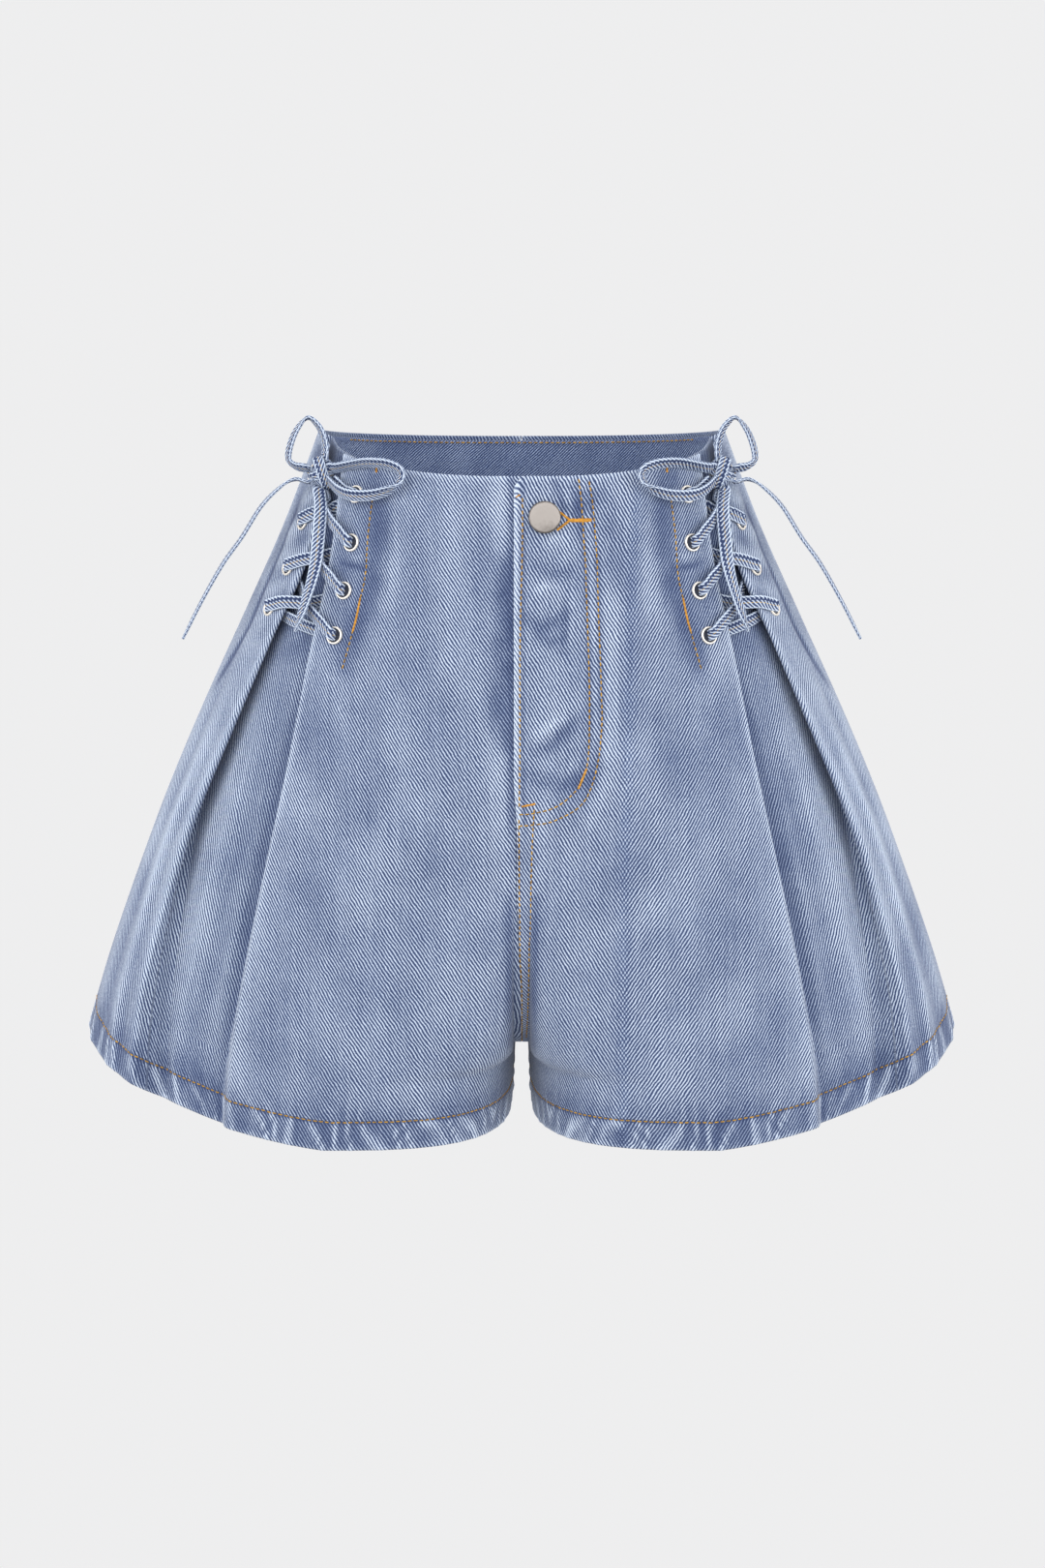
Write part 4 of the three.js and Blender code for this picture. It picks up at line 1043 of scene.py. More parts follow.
def sweep(stations, step=0.9):
    """Stations of place, width direction, width and thickness, spread evenly along a smooth route."""
    rows = np.array([[*at, *(np.array(across, float) / np.linalg.norm(across)), wide, thick]
                     for at, across, wide, thick in stations], float)
    fine = spline(rows, np.linspace(0, len(rows) - 1, len(rows) * 24))
    lengths = run_lengths(fine[:, :3])
    count = max(int(lengths[-1] / step), 12)
    even = np.linspace(0, lengths[-1], count + 1)
    return np.column_stack([np.interp(even, lengths, fine[:, axis]) for axis in range(fine.shape[1])]), even


def tape(name, stations, point_end=0.0):
    """A tape as a closed tube. point_end is the length over which its end narrows to a tip."""
    rows, even = sweep(stations)
    place = rows[:, :3]
    along = np.gradient(place, axis=0)
    along /= np.linalg.norm(along, axis=1, keepdims=True)
    across = rows[:, 3:6] - along * np.sum(rows[:, 3:6] * along, axis=1, keepdims=True)
    across /= np.linalg.norm(across, axis=1, keepdims=True)
    up = np.cross(along, across)
    wide, thick = rows[:, 6:7] / 2, rows[:, 7:8] / 2
    if point_end:
        narrow = mix(0.22, 1.0, smooth(even[-1] - even, 0, point_end))[:, None]
        wide = wide * narrow
    angle = (np.arange(RING + 1) + 0.5) / RING * 2 * math.pi
    flat = np.sign(np.cos(angle)) * np.abs(np.cos(angle)) ** 0.45
    tall = np.sign(np.sin(angle)) * np.abs(np.sin(angle)) ** 0.75 * (1 - 0.18 * (np.abs(flat) < 0.5))
    sideways, upwards = across[:, None] * (wide * flat)[..., None], up[:, None] * (thick * tall)[..., None]
    points = place[:, None] + sideways + upwards
    ends = [np.repeat(place[end][None], RING + 1, axis=0)[None] for end in (0, -1)]
    points = np.concatenate([ends[0], points, ends[1]])
    even = np.concatenate([[even[0]], even, [even[-1]]])
    steps = np.abs(np.diff(flat)) * LACE["wide"] / 2 + np.abs(np.diff(tall))
    around = np.concatenate([[0], np.cumsum(steps)])
    lengths = np.stack(np.broadcast_arrays(around[None, :], -even[:, None]), axis=2)
    sides = {key: np.broadcast_to(row, points.shape[:2]) for key, row in (("across", flat), ("over", tall))}
    core = place[len(place) // 2]
    made = grid_piece(name, points, lengths, lambda at: at - core, LACE_DENIM, sides, closed=True)
    outward_faces(made)
    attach(made, "root")
    return made, place * MM


def outward_faces(piece):
    bm = bmesh.new()
    bm.from_mesh(piece.data)
    bmesh.ops.remove_doubles(bm, verts=bm.verts, dist=1e-6)
    bmesh.ops.dissolve_degenerate(bm, edges=bm.edges, dist=1e-7)
    bmesh.ops.recalc_face_normals(bm, faces=bm.faces)
    bm.to_mesh(piece.data)
    bm.free()


print("a tape has", RING, "sides, one ring each 0.9 mm")

# %% [markdown]
# ## Routes of the laces
# Each side has one lace. It crosses from the lowest eyelets up to the knot, over its own edge of the pleat
# and under the other one. Both runs are one strip, joined by the bar behind the lowest eyelets.
# The bow's loops and tails leave the knot square to it. The routes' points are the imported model's own.

# %% Routes
EYELET_LEVELS = (0.050, 0.120, 0.190, 0.256)
EYELET_INSET = {"front": 15.0, "rear": 12.5}
KNOT = np.array([111.2, -41.0, -14.5])
KNOT_SIZE = np.array([7.4, 5.0, 9.2])
KNOT_ENDS = (0.3, 2.5)
BOW = {
    "bow_up": {
        "leaves": (-0.15, -0.3, 1), "width": (-0.45, -0.85, 0.2),
        "rows": [
            ((110.0, -43.0, 2.5), (-0.45, -0.85, 0.2)), ((113.4, -39.5, 11.0), (-0.4, -0.9, 0.1)),
            ((119.6, -36.0, 15.6), (-0.3, -0.95, 0.2)), ((126.0, -33.0, 9.5), (-0.4, -0.9, 0.1)),
            ((130.2, -31.5, 0.0), (-0.45, -0.85, 0.1)), ((131.0, -32.0, -7.5), (-0.4, -0.9, 0.1)),
            ((126.8, -35.0, -11.2), (-0.1, -0.9, 0.5)),
        ],
        "returns": (1, 0.1, 0.25), "end": (0, -0.8, 0.6),
    },
    "bow_side": {
        "leaves": (-0.75, -1, 0.4), "width": (0, -0.8, 0.6),
        "rows": [
            ((102.8, -51.6, -10.6), (0, -0.8, 0.6)), ((96.3, -57.2, -9.0), (0, -0.8, 0.6)),
            ((86.0, -66.0, -6.9), (-0.2, -0.8, 0.6)), ((75.0, -74.0, -7.0), (-0.4, -0.8, 0.5)),
            ((67.2, -79.5, -9.8), (-0.5, -0.8, 0.3)), ((66.4, -80.5, -14.8), (-0.5, -0.8, 0)),
            ((72.0, -79.5, -20.2), (-0.3, -0.7, 0.6)), ((82.3, -75.5, -23.9), (-0.1, -0.6, 0.8)),
            ((94.5, -68.5, -24.6), (0, -0.5, 0.85)), ((102.0, -59.5, -22.5), (0, -0.6, 0.8)),
        ],
        "returns": (-0.5, -1, -0.5), "end": (0, -0.7, 0.7),
    },
    "tail_long": {
        "leaves": (1, -0.15, -0.5), "width": (-0.1, -1, 0.2),
        "rows": [
            ((127.4, -37.0, -18.6), (-0.1, -1, 0.2)), ((135.7, -33.5, -23.0), (-0.2, -1, 0.1)),
            ((146.9, -30.0, -34.1), (-0.2, -1, 0)), ((158.3, -28.0, -51.8), (-0.2, -1, 0)),
            ((169.6, -26.0, -67.4), (-0.2, -1, 0)), ((182.2, -24.0, -89.1), (-0.15, -1, 0)),
            ((193.2, -22.0, -110.4), (-0.1, -1, 0)),
        ],
    },
    "tail_short": {
        "leaves": (0.25, -0.5, -1), "width": (-1, 0.1, 0),
        "rows": [
            ((112.2, -52.5, -34.0), (-1, 0.1, 0)), ((113.4, -59.0, -51.8), (-1, 0, 0)),
            ((114.9, -63.0, -64.9), (-0.9, -0.4, 0)), ((119.2, -66.6, -80.9), (-0.7, -0.7, 0)),
            ((126.2, -68.6, -100.6), (-0.4, -0.9, 0)),
        ],
    },
}
# own, gap or other; part of the inset or of the gap; share of the way up; depth; how far bunched
CROSSING = (
    ("own", 1.00, 0.00, 5.5, 0.4), ("own", 1.00, 0.00, 1.6, 1.0), ("own", 0.92, 0.02, -3.0, 0.7),
    ("own", 0.55, 0.14, -2.7, 0.0), ("own", -0.04, 0.31, -1.9, 0.0), ("gap", 0.50, 0.49, 0.6, 0.0),
    ("other", -0.35, 0.61, 5.4, 0.0), ("other", 0.60, 0.86, 5.5, 0.0),
)
CROSSING_DEEPER = 3.2
LACE_BAR = {"depth": 5.5, "parts": (0.15, 0.85)}
LACE_END = {
    "front": ((0.02, 0.008, -2.3), (-0.8, -0.3, -0.5)),
    "rear": ((0.2, 0.0, -4.2), (0.4, 1, -0.2)),
}
# how many rows of a crossing the top eyelet has, and how far the tape is bunched at the knot
LAST_ROWS, END_BUNCH = 4, 0.5
OTHER = {"front": "rear", "rear": "front"}


def sided(point, left):
    return np.array([point[0] if left else -point[0], point[1], point[2]], float)


def off_knot(direction):
    """Two places square off the knot's skin, where a tape leaves it."""
    toward = np.array(direction, float) / np.linalg.norm(direction)
    normal = toward / KNOT_SIZE
    normal /= np.linalg.norm(normal)
    return [KNOT + toward * KNOT_SIZE + normal * away for away in KNOT_ENDS]


def bow_stations(piece, left):
    stations = [(at, piece["width"]) for at in off_knot(piece["leaves"])] + list(piece["rows"])
    if "returns" in piece:
        stations += [(at, piece["end"]) for at in off_knot(piece["returns"])[::-1]]
    return [(sided(at, left), sided(across, left), LACE["wide"], LACE["thick"]) for at, across in stations]


def lace_point(strip, part, down, depth, in_gap=False):
    """A place at a share of the inset from one fold's edge, or of the way over the pleat from it."""
    front, rear = float(fold_at("front", down)), float(fold_at("rear", down))
    if in_gap:
        along = mix(front, rear, part) if strip == "front" else mix(rear, front, part)
    else:
        inset = part * EYELET_INSET[strip]
        along = front - inset if strip == "front" else rear + inset
    return placed("front", np.array([down]), np.array([along]), np.array([float(depth)]))[0]


def lace_station(at, bunch, left):
    wide = mix(LACE["wide"], LACE["bunched_wide"], bunch)
    thick = mix(LACE["thick"], LACE["bunched_thick"], bunch)
    return sided(at, left), np.array([0.0, 0.0, 1.0]), wide, thick


def lace_run(strip, deeper, left):
    """One run of the lace, from a lowest eyelet up to the knot, crossing over at each level."""
    stations = []
    for eyelet in range(len(EYELET_LEVELS) - 1, 0, -1):
        for where, part, level, depth, bunch in CROSSING:
            down = mix(EYELET_LEVELS[eyelet], EYELET_LEVELS[eyelet - 1], level)
            own = OTHER[strip] if where == "other" else strip
            lower = deeper if where == "gap" else 0.0
            at = lace_point(own, part, down, depth + lower, where == "gap")
            stations.append(lace_station(at, bunch, left))
        strip = OTHER[strip]
    for _, part, _, depth, bunch in CROSSING[:LAST_ROWS]:
        stations.append(lace_station(lace_point(strip, part, EYELET_LEVELS[0], depth), bunch, left))
    (part, up, depth), end = LACE_END[strip]
    stations.append(lace_station(lace_point(strip, part, EYELET_LEVELS[0] - up, depth), END_BUNCH, left))
    return stations + [lace_station(at, END_BUNCH, left) for at in off_knot(end)[::-1]]


def lace_stations(left):
    lowest, depth = EYELET_LEVELS[-1], LACE_BAR["depth"]
    places = [lace_point("rear", part, lowest, depth, True) for part in LACE_BAR["parts"]]
    bar = [lace_station(at, 0.0, left) for at in places]
    return lace_run("rear", CROSSING_DEEPER, left)[::-1] + bar + lace_run("front", 0.0, left)


tapes, routes = {}, {}
for side, left in BOTH:
    for key, piece in BOW.items():
        name = f"{key}_{side}"
        tip = LACE["tip"] if "tail" in key else 0.0
        tapes[name], routes[name] = tape(name + "_tape", bow_stations(piece, left), tip)
        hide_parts(name)
    tapes["lace_" + side], routes["lace_" + side] = tape(f"lace_{side}_tape", lace_stations(left))
    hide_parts("lace_" + side)

for name, route in routes.items():
    print(name, round(length_of(route) * 1000, 1), "mm")

# %% [markdown]
# ## Knots
# The knot is a lump of the same tape, wrapped twice. It is a ball pinched where a wrap bites,
# with each wrap as a band of tape round it, tilted as a hand pulls it tight.

# %% Knots
def knot_piece(left):
    side = "left" if left else "right"
    bm = bmesh.new()
    bmesh.ops.create_uvsphere(bm, u_segments=28, v_segments=18, radius=1.0)
    uv = bm.loops.layers.uv.new("cloth")
    across, over = bm.verts.layers.float.new("across"), bm.verts.layers.float.new("over")
    for face in bm.faces:
        face.smooth = True
        for loop in face.loops:
            co = loop.vert.co
            loop[uv].uv = (math.atan2(co.y, co.x) * 7.0 * MM, co.z * 9.0 * MM)
    centre = sided(KNOT, left)
    for vert in bm.verts:
        x, y, z = vert.co
        pinch = 0.93 - 0.12 * math.exp(-(z / 0.33) ** 2) + 0.04 * math.sin(3 * math.atan2(y, x) + 2 * z)
        vert[across], vert[over] = 0.9 * z, 1.0
        size = KNOT_SIZE * np.array([pinch, pinch, 0.93])
        vert.co = Vector((centre + size * np.array([x, y, z])) * MM)
    pieces = [built(f"knot_{side}_ball", bm, LACE_DENIM)]
    for at, (reach, width, turn) in enumerate(WRAPS):
        stations = []
        for angle in np.linspace(0, 2 * math.pi, 15):
            ring = np.array(reach) * (math.cos(angle), math.sin(angle), math.cos(angle))
            stations.append((sided(KNOT + ring, left), sided(turn, left), width, 1.5))
        band, _ = tape(f"knot_{side}_wrap_{at + 1}", stations)
        pieces.append(band)
    for piece in pieces:
        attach(piece, "root")
    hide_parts("knot_" + side)
    return pieces


# the ring's reach each way in mm, the band's width and the way across it
WRAPS = (((2.9, 5.0, 8.6), 6.4, (1.0, 0.0, -0.35)), ((6.9, 4.6, -2.6), 5.0, (0.35, 0.0, 1.0)))
knots = {side: knot_piece(left) for side, left in BOTH}
print("knots:", [piece.name for pieces in knots.values() for piece in pieces])

# %% [markdown]
# ## Loose tapes
# Each tape runs from the knot to its tip or round and back into the knot. Here each name is only split
# into its kind and side, and the tapes are counted.
# The lace proper is one strip through all eight eyelets, so both of its ends are at the knot.

# %% Loose tapes
for name, route in routes.items():
    key, side = name.rsplit("_", 1)
print("declared", len(routes), "tapes")

# %% [markdown]
# ## Eyelets and button
# Both are stamped from sheet metal, so each is a profile spun about its axis and set square to the cloth.
# The eyelets are bright and thin, with a rolled rim. The button's face is flat, matt and a little warm.
# A near-black disc in each eyelet is painted shade of its hole, and the button's rim is painted darker as
# shade.

# %% Eyelets and button
def metal(name, colour, dark, rough, scratch, scale, shine, rim=None):
    """rim is a place in mm and the two distances from it between which the metal is painted darker, as shade
    on a rolled rim.
    """
    n = Nodes(name)
    place = n.object_place()
    spots, fine = n.noise(place, scale, 3.0, 0.6), n.noise(place, scale * 6, 2.0, 0.7)
    if rim is not None:
        away = n.add("ShaderNodeVectorMath", {"operation": "DISTANCE"}, i0=place, i1=rim[0]).outputs["Value"]
        spots = n.minus(spots, n.times(n.step(away, *rim[1]), 0.6))
    ramp = n.ramp(spots, ((0.05, dark), (0.42, colour)))
    roughness = n.plus(rough, n.times(fine, 0.16))
    return n.wired(ramp, roughness, n.bump(fine, 0.00003, scratch), {"Metallic": shine})


EYELET_METAL = metal("eyelet_metal", (0.93, 0.87, 0.78), (0.66, 0.56, 0.45), 0.24, 0.3, 0.8, 0.7)
# a near-black disc in each eyelet: painted shade of the hole behind it
EYELET_SHADE = metal("eyelet_painted_shade", (0.020, 0.024, 0.040), (0.008, 0.009, 0.015), 0.8, 0.5, 1.2, 0.0)


def frame_at(left, down, along):
    """A place on a front and a turn that stands +Z out of the cloth."""
    down, along = np.array([down]), np.array([along])
    normal = outwards("front", down, along)[0]
    turn = Vector(sided(normal, left)).to_track_quat("Z", "Y").to_matrix()
    return sided(on("front", down, along)[0], left), turn


def spun_piece(name, profile, places, steps, material):
    """Spins a profile of radius and height in mm at each place, about the cloth's own normal."""
    bm = bmesh.new()
    for at, turn in places:
        before = set(bm.verts)
        verts = [bm.verts.new((radius, 0.0, height)) for radius, height in profile]
        edges = [bm.edges.new(pair) for pair in zip(verts, verts[1:])]
        bmesh.ops.spin(
            bm, geom=verts + edges, cent=(0, 0, 0), axis=(0, 0, 1), angle=2 * math.pi, steps=steps,
            use_merge=True,
        )
        for vert in bm.verts:
            if vert not in before:
                vert.co = (turn @ vert.co + Vector(at)) * MM
    bmesh.ops.remove_doubles(bm, verts=bm.verts, dist=1e-7)
    bmesh.ops.dissolve_degenerate(bm, edges=bm.edges, dist=1e-8)
    bmesh.ops.recalc_face_normals(bm, faces=bm.faces)
    for face in bm.faces:
        face.smooth = True
    made = built(name, bm, material)
    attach(made, "root")
    return made


def rounded(start, radius_in, radius_out, height):
    """A rolled rim: half a ring from the inner radius over the top to the outer radius."""
    middle, half = (radius_in + radius_out) / 2, (radius_out - radius_in) / 2
    angles = np.linspace(0, math.pi, 9)
    return [(middle - half * math.cos(a), start + height * math.sin(a)) for a in angles]


EYELET_PROFILE = [(3.85, -3.6), (3.72, -3.4), (3.75, 0.2)] + rounded(0.3, 3.75, 5.1, 0.95) + [
    (5.05, 0.1), (4.3, 0.05), (4.3, -3.4), (4.1, -3.6), (3.85, -3.6),
]
EYELET_SHADE_PROFILE = [(0.0, 0.36), (2.0, 0.36), (3.80, 0.36)]
BUTTON_PROFILE = [
    (0.0, -1.2), (3.0, -1.2), (3.2, -1.0), (3.2, 1.9), (4.0, 2.2), (8.2, 2.4), (8.75, 2.75), (8.9, 3.3),
    (8.85, 3.8), (8.6, 4.3), (8.1, 4.62), (7.4, 4.75), (5.0, 4.82), (2.5, 4.86), (0.0, 4.88),
]
for side, left in BOTH:
    places, nodes = [], []
    for strip in ("front", "rear"):
        for at, level in enumerate(EYELET_LEVELS):
            inset = EYELET_INSET[strip]
            along = float(fold_at(strip, level)) + (-inset if strip == "front" else inset)
            places.append(frame_at(left, level, along))
            nodes.append(f"eyelet_{side}_{strip}_{at + 1}")
    rings = spun_piece("eyelets_" + side, EYELET_PROFILE, places, 32, EYELET_METAL)
    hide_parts(*nodes)
    # the painted shade disc in each eyelet
    hollows = spun_piece("eyelet_shade_discs_" + side, EYELET_SHADE_PROFILE, places, 24, EYELET_SHADE)
BUTTON_AT = (0.06, 12.6 - INNER[0])
place, turn = frame_at(True, *BUTTON_AT)
face = tuple(Vector(place) + turn @ Vector((0.0, 0.0, BUTTON_PROFILE[-1][1])))
# painted shade: the button's rolled rim, 7.4 to 9.2 mm from the middle of its face, is painted darker
BUTTON_METAL = metal(
    "button_metal", (0.40, 0.365, 0.34), (0.12, 0.105, 0.095), 0.45, 0.5, 0.1, 0.6, rim=(face, (7.4, 9.2)),
)
button = spun_piece("button_cap", BUTTON_PROFILE, [(place, turn)], 64, BUTTON_METAL)
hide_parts("button")
print("button", [round(v * 1000, 1) for v in button.dimensions])

# %% [markdown]
# ## Seams and thread
# Jeans are sewn in thick orange thread, two rows to a seam. Each stitch is a short rounded bar whose ends
# go down into the cloth, laid on the panel's own surface. Bartacks and the buttonhole are satin stitch:
# the same bars side by side across the line.

# %% Thread
def thread_material(name, colour, dark):
    n = Nodes(name)
    place = n.object_place()
    worn, twist = n.noise(place, 0.45, 3.0, 0.6), n.noise(place, 5.0, 2.0, 0.6)
    both = n.plus(n.times(worn, 0.7), n.times(twist, 0.3))
    ramp = n.ramp(both, ((0.34, dark), (0.60, colour)))
    return n.wired(ramp, n.plus(0.45, n.times(twist, 0.3)), n.bump(twist, 0.0001, 0.6))


ORANGE = thread_material("orange_thread", (0.56, 0.30, 0.020), (0.11, 0.068, 0.018))
GOLD = thread_material("gold_thread", (0.68, 0.32, 0.028), (0.34, 0.15, 0.015))
SIDES = 6
BAR = ((-1.0, 0.35, -0.9), (-0.72, 0.9, 0.05), (0.0, 1.0, 0.35), (0.72, 0.9, 0.05), (1.0, 0.35, -0.9))


def front_along(down, x):
    """The distance along a front at which it is x from the centre plane."""
    made = []
    for d, wanted in zip(down, x):
        points, lengths = TABLE["front"][int(round(float(d) * (len(LEVELS) - 1)))]
        past = wanted - points[0, 0]
        made.append(np.interp(wanted, points[:, 0], lengths) if past > 0 else past)
    return np.array(made)


def drawn(rows, step=0.5):
    """A smooth line through places given as x and share of the way down, at even steps in mm."""
    rows = np.array(rows, float)
    if len(rows) == 2:
        fine = mix(rows[0], rows[1], np.linspace(0, 1, 60)[:, None])
    else:
        fine = spline(rows, np.linspace(0, len(rows) - 1, len(rows) * 30))
    lengths = run_lengths(fine * (1, LONG))
    even = np.linspace(0, lengths[-1], max(int(lengths[-1] / step), 2) + 1)
    return np.column_stack([np.interp(even, lengths, fine[:, axis]) for axis in (0, 1)])


def on_front(left, rows):
    line = drawn(rows)
    return front_place(left, line[:, 1], front_along(line[:, 1], line[:, 0]), 0.3)


def laid(piece, points):
    """The nearest places on a piece of cloth, with their normals."""
    places, normals = [], []
    for point in points:
        _, at, normal, _ = piece.closest_point_on_mesh(Vector(point * MM))
        places.append(np.array(at) / MM)
        normals.append(np.array(normal))
    return np.array(places), np.array(normals)


def bars(places, ways, normals, half, radius):
    """Points and faces of rounded bars, one at each place."""
    points, faces = [], []
    for at, way, normal, long in zip(places, ways, normals, np.broadcast_to(half, len(places))):
        way = way / max(np.linalg.norm(way), 1e-9)
        across = np.cross(normal, way)
        across /= max(np.linalg.norm(across), 1e-9)
        first = len(points)
        for t, size, height in BAR:
            for side in range(SIDES):
                angle = 2 * math.pi * (side + 0.5) / SIDES
                points.append(
                    at + way * t * long + across * math.cos(angle) * radius * size
                    + normal * (math.sin(angle) * size + height) * radius * 0.85
                )
        for ring in range(len(BAR) - 1):
            for side in range(SIDES):
                a, b = first + ring * SIDES + side, first + ring * SIDES + (side + 1) % SIDES
                faces.append((a, b, b + SIDES, a + SIDES))
        faces.append(tuple(first + side for side in reversed(range(SIDES))))
        last = first + (len(BAR) - 1) * SIDES
        faces.append(tuple(last + side for side in range(SIDES)))
    return points, faces


def along_line(line, places):
    lengths = run_lengths(line)
    return np.column_stack([np.interp(places, lengths, line[:, axis]) for axis in range(3)])

def joined(name, parts, material):
    """One piece from many small parts, each its points and faces."""
    points, faces = [], []
    for made, skin in parts:
        faces += [tuple(corner + len(points) for corner in face) for face in skin]
        points += made
    mesh = bpy.data.meshes.new(name)
    mesh.from_pydata([tuple(np.array(point) * MM) for point in points], [], faces)
    mesh.validate()
    mesh.polygons.foreach_set("use_smooth", [True] * len(mesh.polygons))
    piece = link(name, mesh, material)
    outward_faces(piece)
    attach(piece, "root")
    return piece


def sewn(name, runs, material, length=2.6, gap=0.7, radius=0.42):
    """Running stitches along lines. Each run is a piece of cloth and the points of a line on it."""
    parts = []
    for piece, line in runs:
        whole = length_of(line)
        count = max(int(whole / (length + gap)), 1)
        middle = (np.arange(count) + 0.5) * whole / count
        start, _ = laid(piece, along_line(line, middle - length / 2))
        end, _ = laid(piece, along_line(line, middle + length / 2))
        centre, normals = laid(piece, along_line(line, middle))
        parts.append(bars(centre, end - start, normals, length / 2, radius))
    return joined(name, parts, material)


def satin(name, runs, material, pitch=0.55, radius=0.34):
    """Stitches side by side across lines. Each run is cloth, a line's points and the width of a stitch."""
    parts = []
    for piece, line, width in runs:
        places = np.arange(0, length_of(line), pitch)
        spots = along_line(line, places)
        ways = np.gradient(spots, axis=0)
        centre, normals = laid(piece, spots)
        across = np.cross(normals, ways) + 0.15 * ways
        sizes = width / 2 * (1 + 0.10 * np.sin(places * 9.7))
        parts.append(bars(centre + normals * 0.1, across, normals, sizes, radius))
    return joined(name, parts, material)


print("one stitch has", SIDES * len(BAR), "points")

# %% [markdown]
# ## Lines of stitching
# The J of the fly is sewn in two rows, tacked near its foot. One row holds the fly's folded edge,
# two run down the middle seam, and one holds each hem, all round, through the pleat as well.
# The backs have rows beside their middle seam, and the facing has one along its top.
# A short row beside the lacing closes the top of each pleat, ending in a thick tack.

# %% Stitching
EDGE_ROW = [(0.4, 0.030), (0.4, 0.096), (-0.9, 0.25), (-1.0, 0.40), (-1.4, 0.484)]
SEAM_INNER = [(-1.6, 0.50), (-1.3, 0.60), (-1.0, 0.70), (-1.0, 0.80), (-1.4, 0.875)]
SEAM_OUTER = [(6.9, 0.485), (5.9, 0.54), (4.9, 0.62), (4.3, 0.72), (3.6, 0.80), (2.6, 0.865)]
STRIP_ROW = [(82.8, 0.049), (85.2, 0.104), (86.7, 0.161), (90.0, 0.201), (94.3, 0.248), (99.7, 0.301)]
HEM_ROW = HEM_START + ROPE["thread"] / LONG
FACING_ROW = {"down": 0.0085, "depth": 3.3, "reach": 116}
LINE_POINTS = {"hem": 200, "back": 260, "facing": 320}


def hem_lines(left):
    path = front_path(HEM_ROW, left)
    front = front_place(left, HEM_ROW, path[:, 0], -path[:, 1])
    edge = float(inner_edge(HEM_ROW, 0.0))
    along = np.linspace(edge, float(side_at("back", HEM_ROW)), LINE_POINTS["hem"])
    return front, back_place(left, np.full(along.shape, HEM_ROW), along, np.zeros(along.shape))


def back_line(left, x, start, end):
    down = np.linspace(start, end, LINE_POINTS["back"])
    return back_place(left, down, x - inner_at(down), np.zeros(down.shape))


runs = []
for side, left in BOTH:
    front, back = hem_lines(left)
    runs += [(fronts[side], front), (backs[side], back)]
    runs.append((fronts[side], on_front(left, STRIP_ROW)))
    runs.append((backs[side], back_line(left, 3.2 if left else 2.6, 0.004, 0.86)))
runs.append((backs["left"], back_line(True, 9.2, 0.004, 0.84)))
for row in (J_INNER, J_OUTER, EDGE_ROW, SEAM_INNER, SEAM_OUTER):
    runs.append((fronts["left"], on_front(True, row)))
across = np.linspace(-FACING_ROW["reach"], FACING_ROW["reach"], LINE_POINTS["facing"])
top_line = placed(
    "back", np.full(across.shape, FACING_ROW["down"]), np.abs(across) - INNER[0],
    np.full(across.shape, FACING_ROW["depth"]),
)
top_line[:, 0] *= np.sign(across)
runs.append((facing, top_line))
stitching = sewn("stitching", runs, ORANGE)
print("stitches:", len(stitching.data.polygons) // (SIDES * (len(BAR) - 1) + 2))

# %% [markdown]
# ## Bartacks and buttonhole
# The buttonhole is a keyhole: two rows of satin stitch meet beside the button and end in a bar.

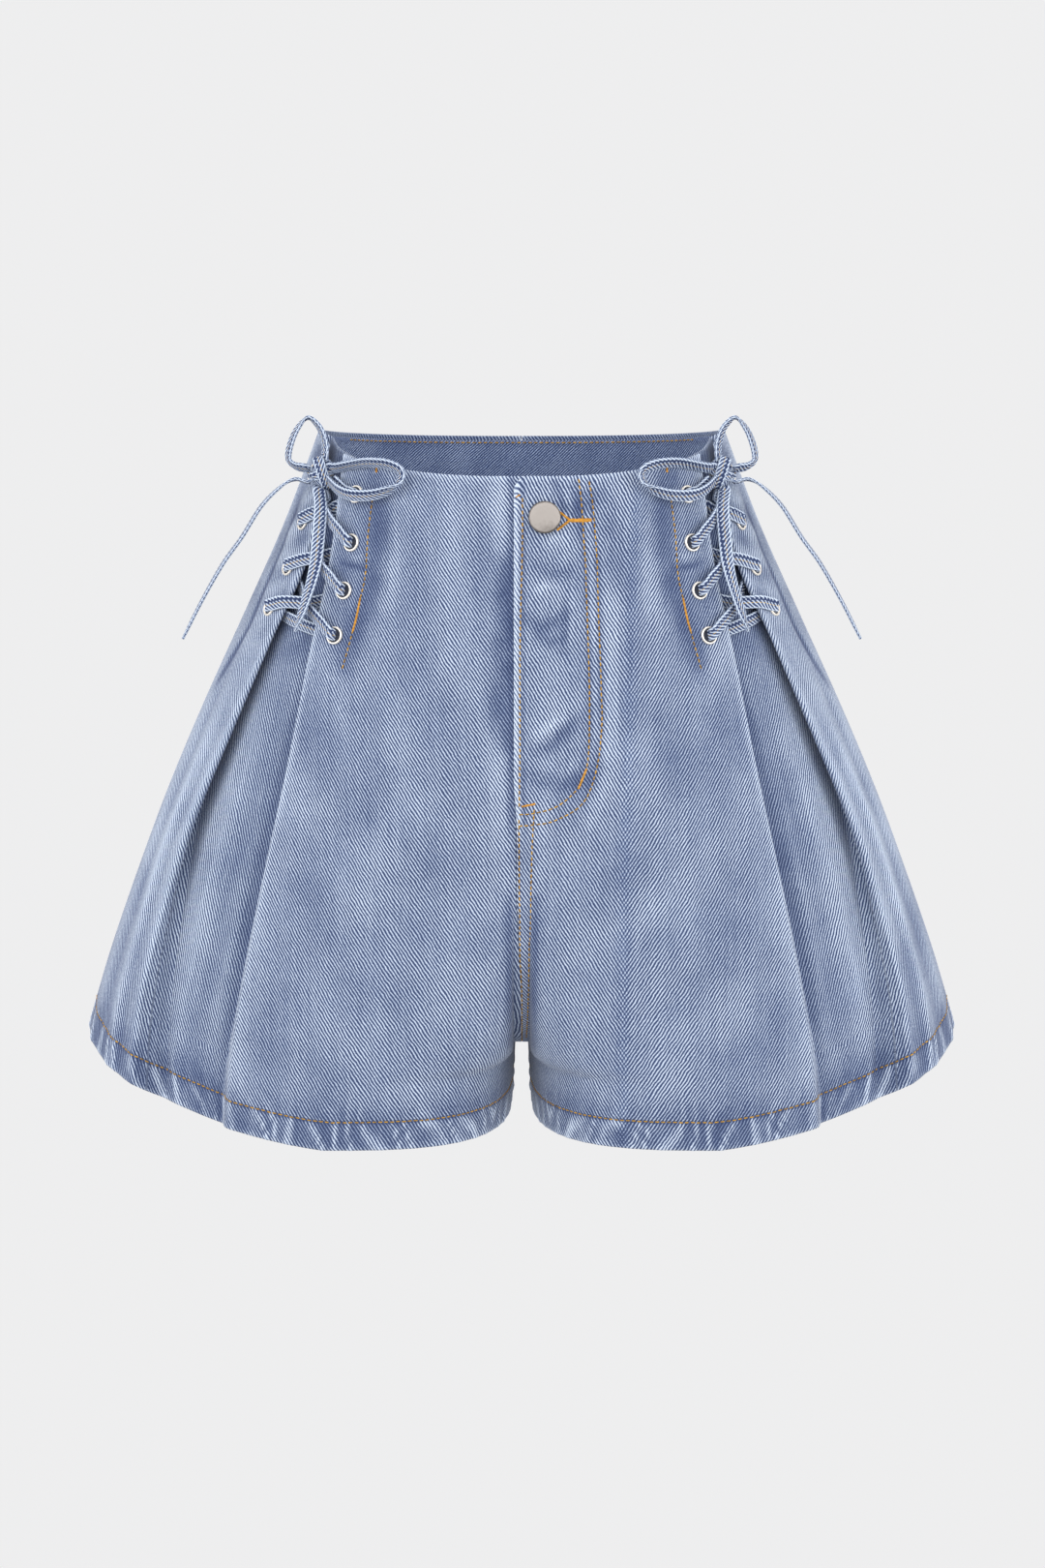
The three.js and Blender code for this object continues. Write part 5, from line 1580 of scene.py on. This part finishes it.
# %% Bartacks and buttonhole
# x from the middle in mm and share of the way down for each point, then the width of the satin
TACKS_LEFT = (
    ([(19.5, 0.050), (22.6, 0.056), (25.9, 0.063)], 1.5),
    ([(19.5, 0.078), (22.6, 0.072), (25.9, 0.0655)], 1.5),
    ([(25.6, 0.0645), (38.4, 0.0655)], 2.3), ([(35.7, 0.427), (31.2, 0.456)], 1.3),
    ([(0.2, 0.482), (7.5, 0.478)], 1.2), ([(-3.0, 0.0235), (-0.6, 0.0255)], 0.8),
)
TACKS_BOTH = (
    ([(89.6, 0.196), (92.0, 0.226), (93.9, 0.244)], 1.3), ([(80.4, 0.004), (80.6, 0.012)], 1.4),
)
tacks = [(fronts["left"], on_front(True, row), width) for row, width in TACKS_LEFT]
for side, left in BOTH:
    tacks += [(fronts[side], on_front(left, row), width) for row, width in TACKS_BOTH]
tacked = satin("bartacks", tacks, GOLD)
print("bartack points:", len(tacked.data.vertices))

# %% [markdown]
# ## Floor and light
# A plain pale floor and an even pale surround, with large soft lamps in front and above,
# give the flat light of a catalogue picture.

# %% Floor and light
PAPER = (0.855, 0.855, 0.860)
FLOOR = -1.4
world = bpy.data.worlds.new("surround")
world.use_nodes = True
world.node_tree.nodes["Background"].inputs["Color"].default_value = (*PAPER, 1.0)
world.node_tree.nodes["Background"].inputs["Strength"].default_value = 1.0
bpy.context.scene.world = world
bpy.context.scene.view_settings.view_transform = "Standard"

paper = bpy.data.materials.new("floor_paper")
paper.use_nodes = True
glow = paper.node_tree.nodes.new("ShaderNodeEmission")
glow.inputs["Color"].default_value = (*PAPER, 1.0)
paper.node_tree.links.new(glow.outputs[0], paper.node_tree.nodes["Material Output"].inputs["Surface"])
bm = bmesh.new()
bmesh.ops.create_grid(bm, x_segments=2, y_segments=2, size=20.0)
for vert in bm.verts:
    vert.co.z = FLOOR
floor = built("floor", bm, paper)

LAMPS = (
    ("key", (-1.1, -2.2, 1.3), 1.6, 22.0), ("fill", (1.3, -2.2, 0.8), 1.8, 15.0),
    ("top", (0.0, 0.4, 2.2), 1.6, 14.0), ("right", (-2.0, -0.7, 0.2), 1.4, 14.0),
    ("left", (2.0, -0.7, 0.2), 1.4, 14.0),
)
for name, place, size, power in LAMPS:
    lamp = bpy.data.lights.new(name, "AREA")
    lamp.size = size
    lamp.energy = power
    made = bpy.data.objects.new(name, lamp)
    made.location = place
    made.rotation_euler = (Vector(CAMERA["target"]) - Vector(place)).to_track_quat("-Z", "Y").to_euler()
    bpy.context.scene.collection.objects.link(made)
print("lamps:", [name for name, *_ in LAMPS])

# %% [markdown]
# ## At the end
# The view layer is brought up to date.

# %% Finish
bpy.context.view_layer.update()
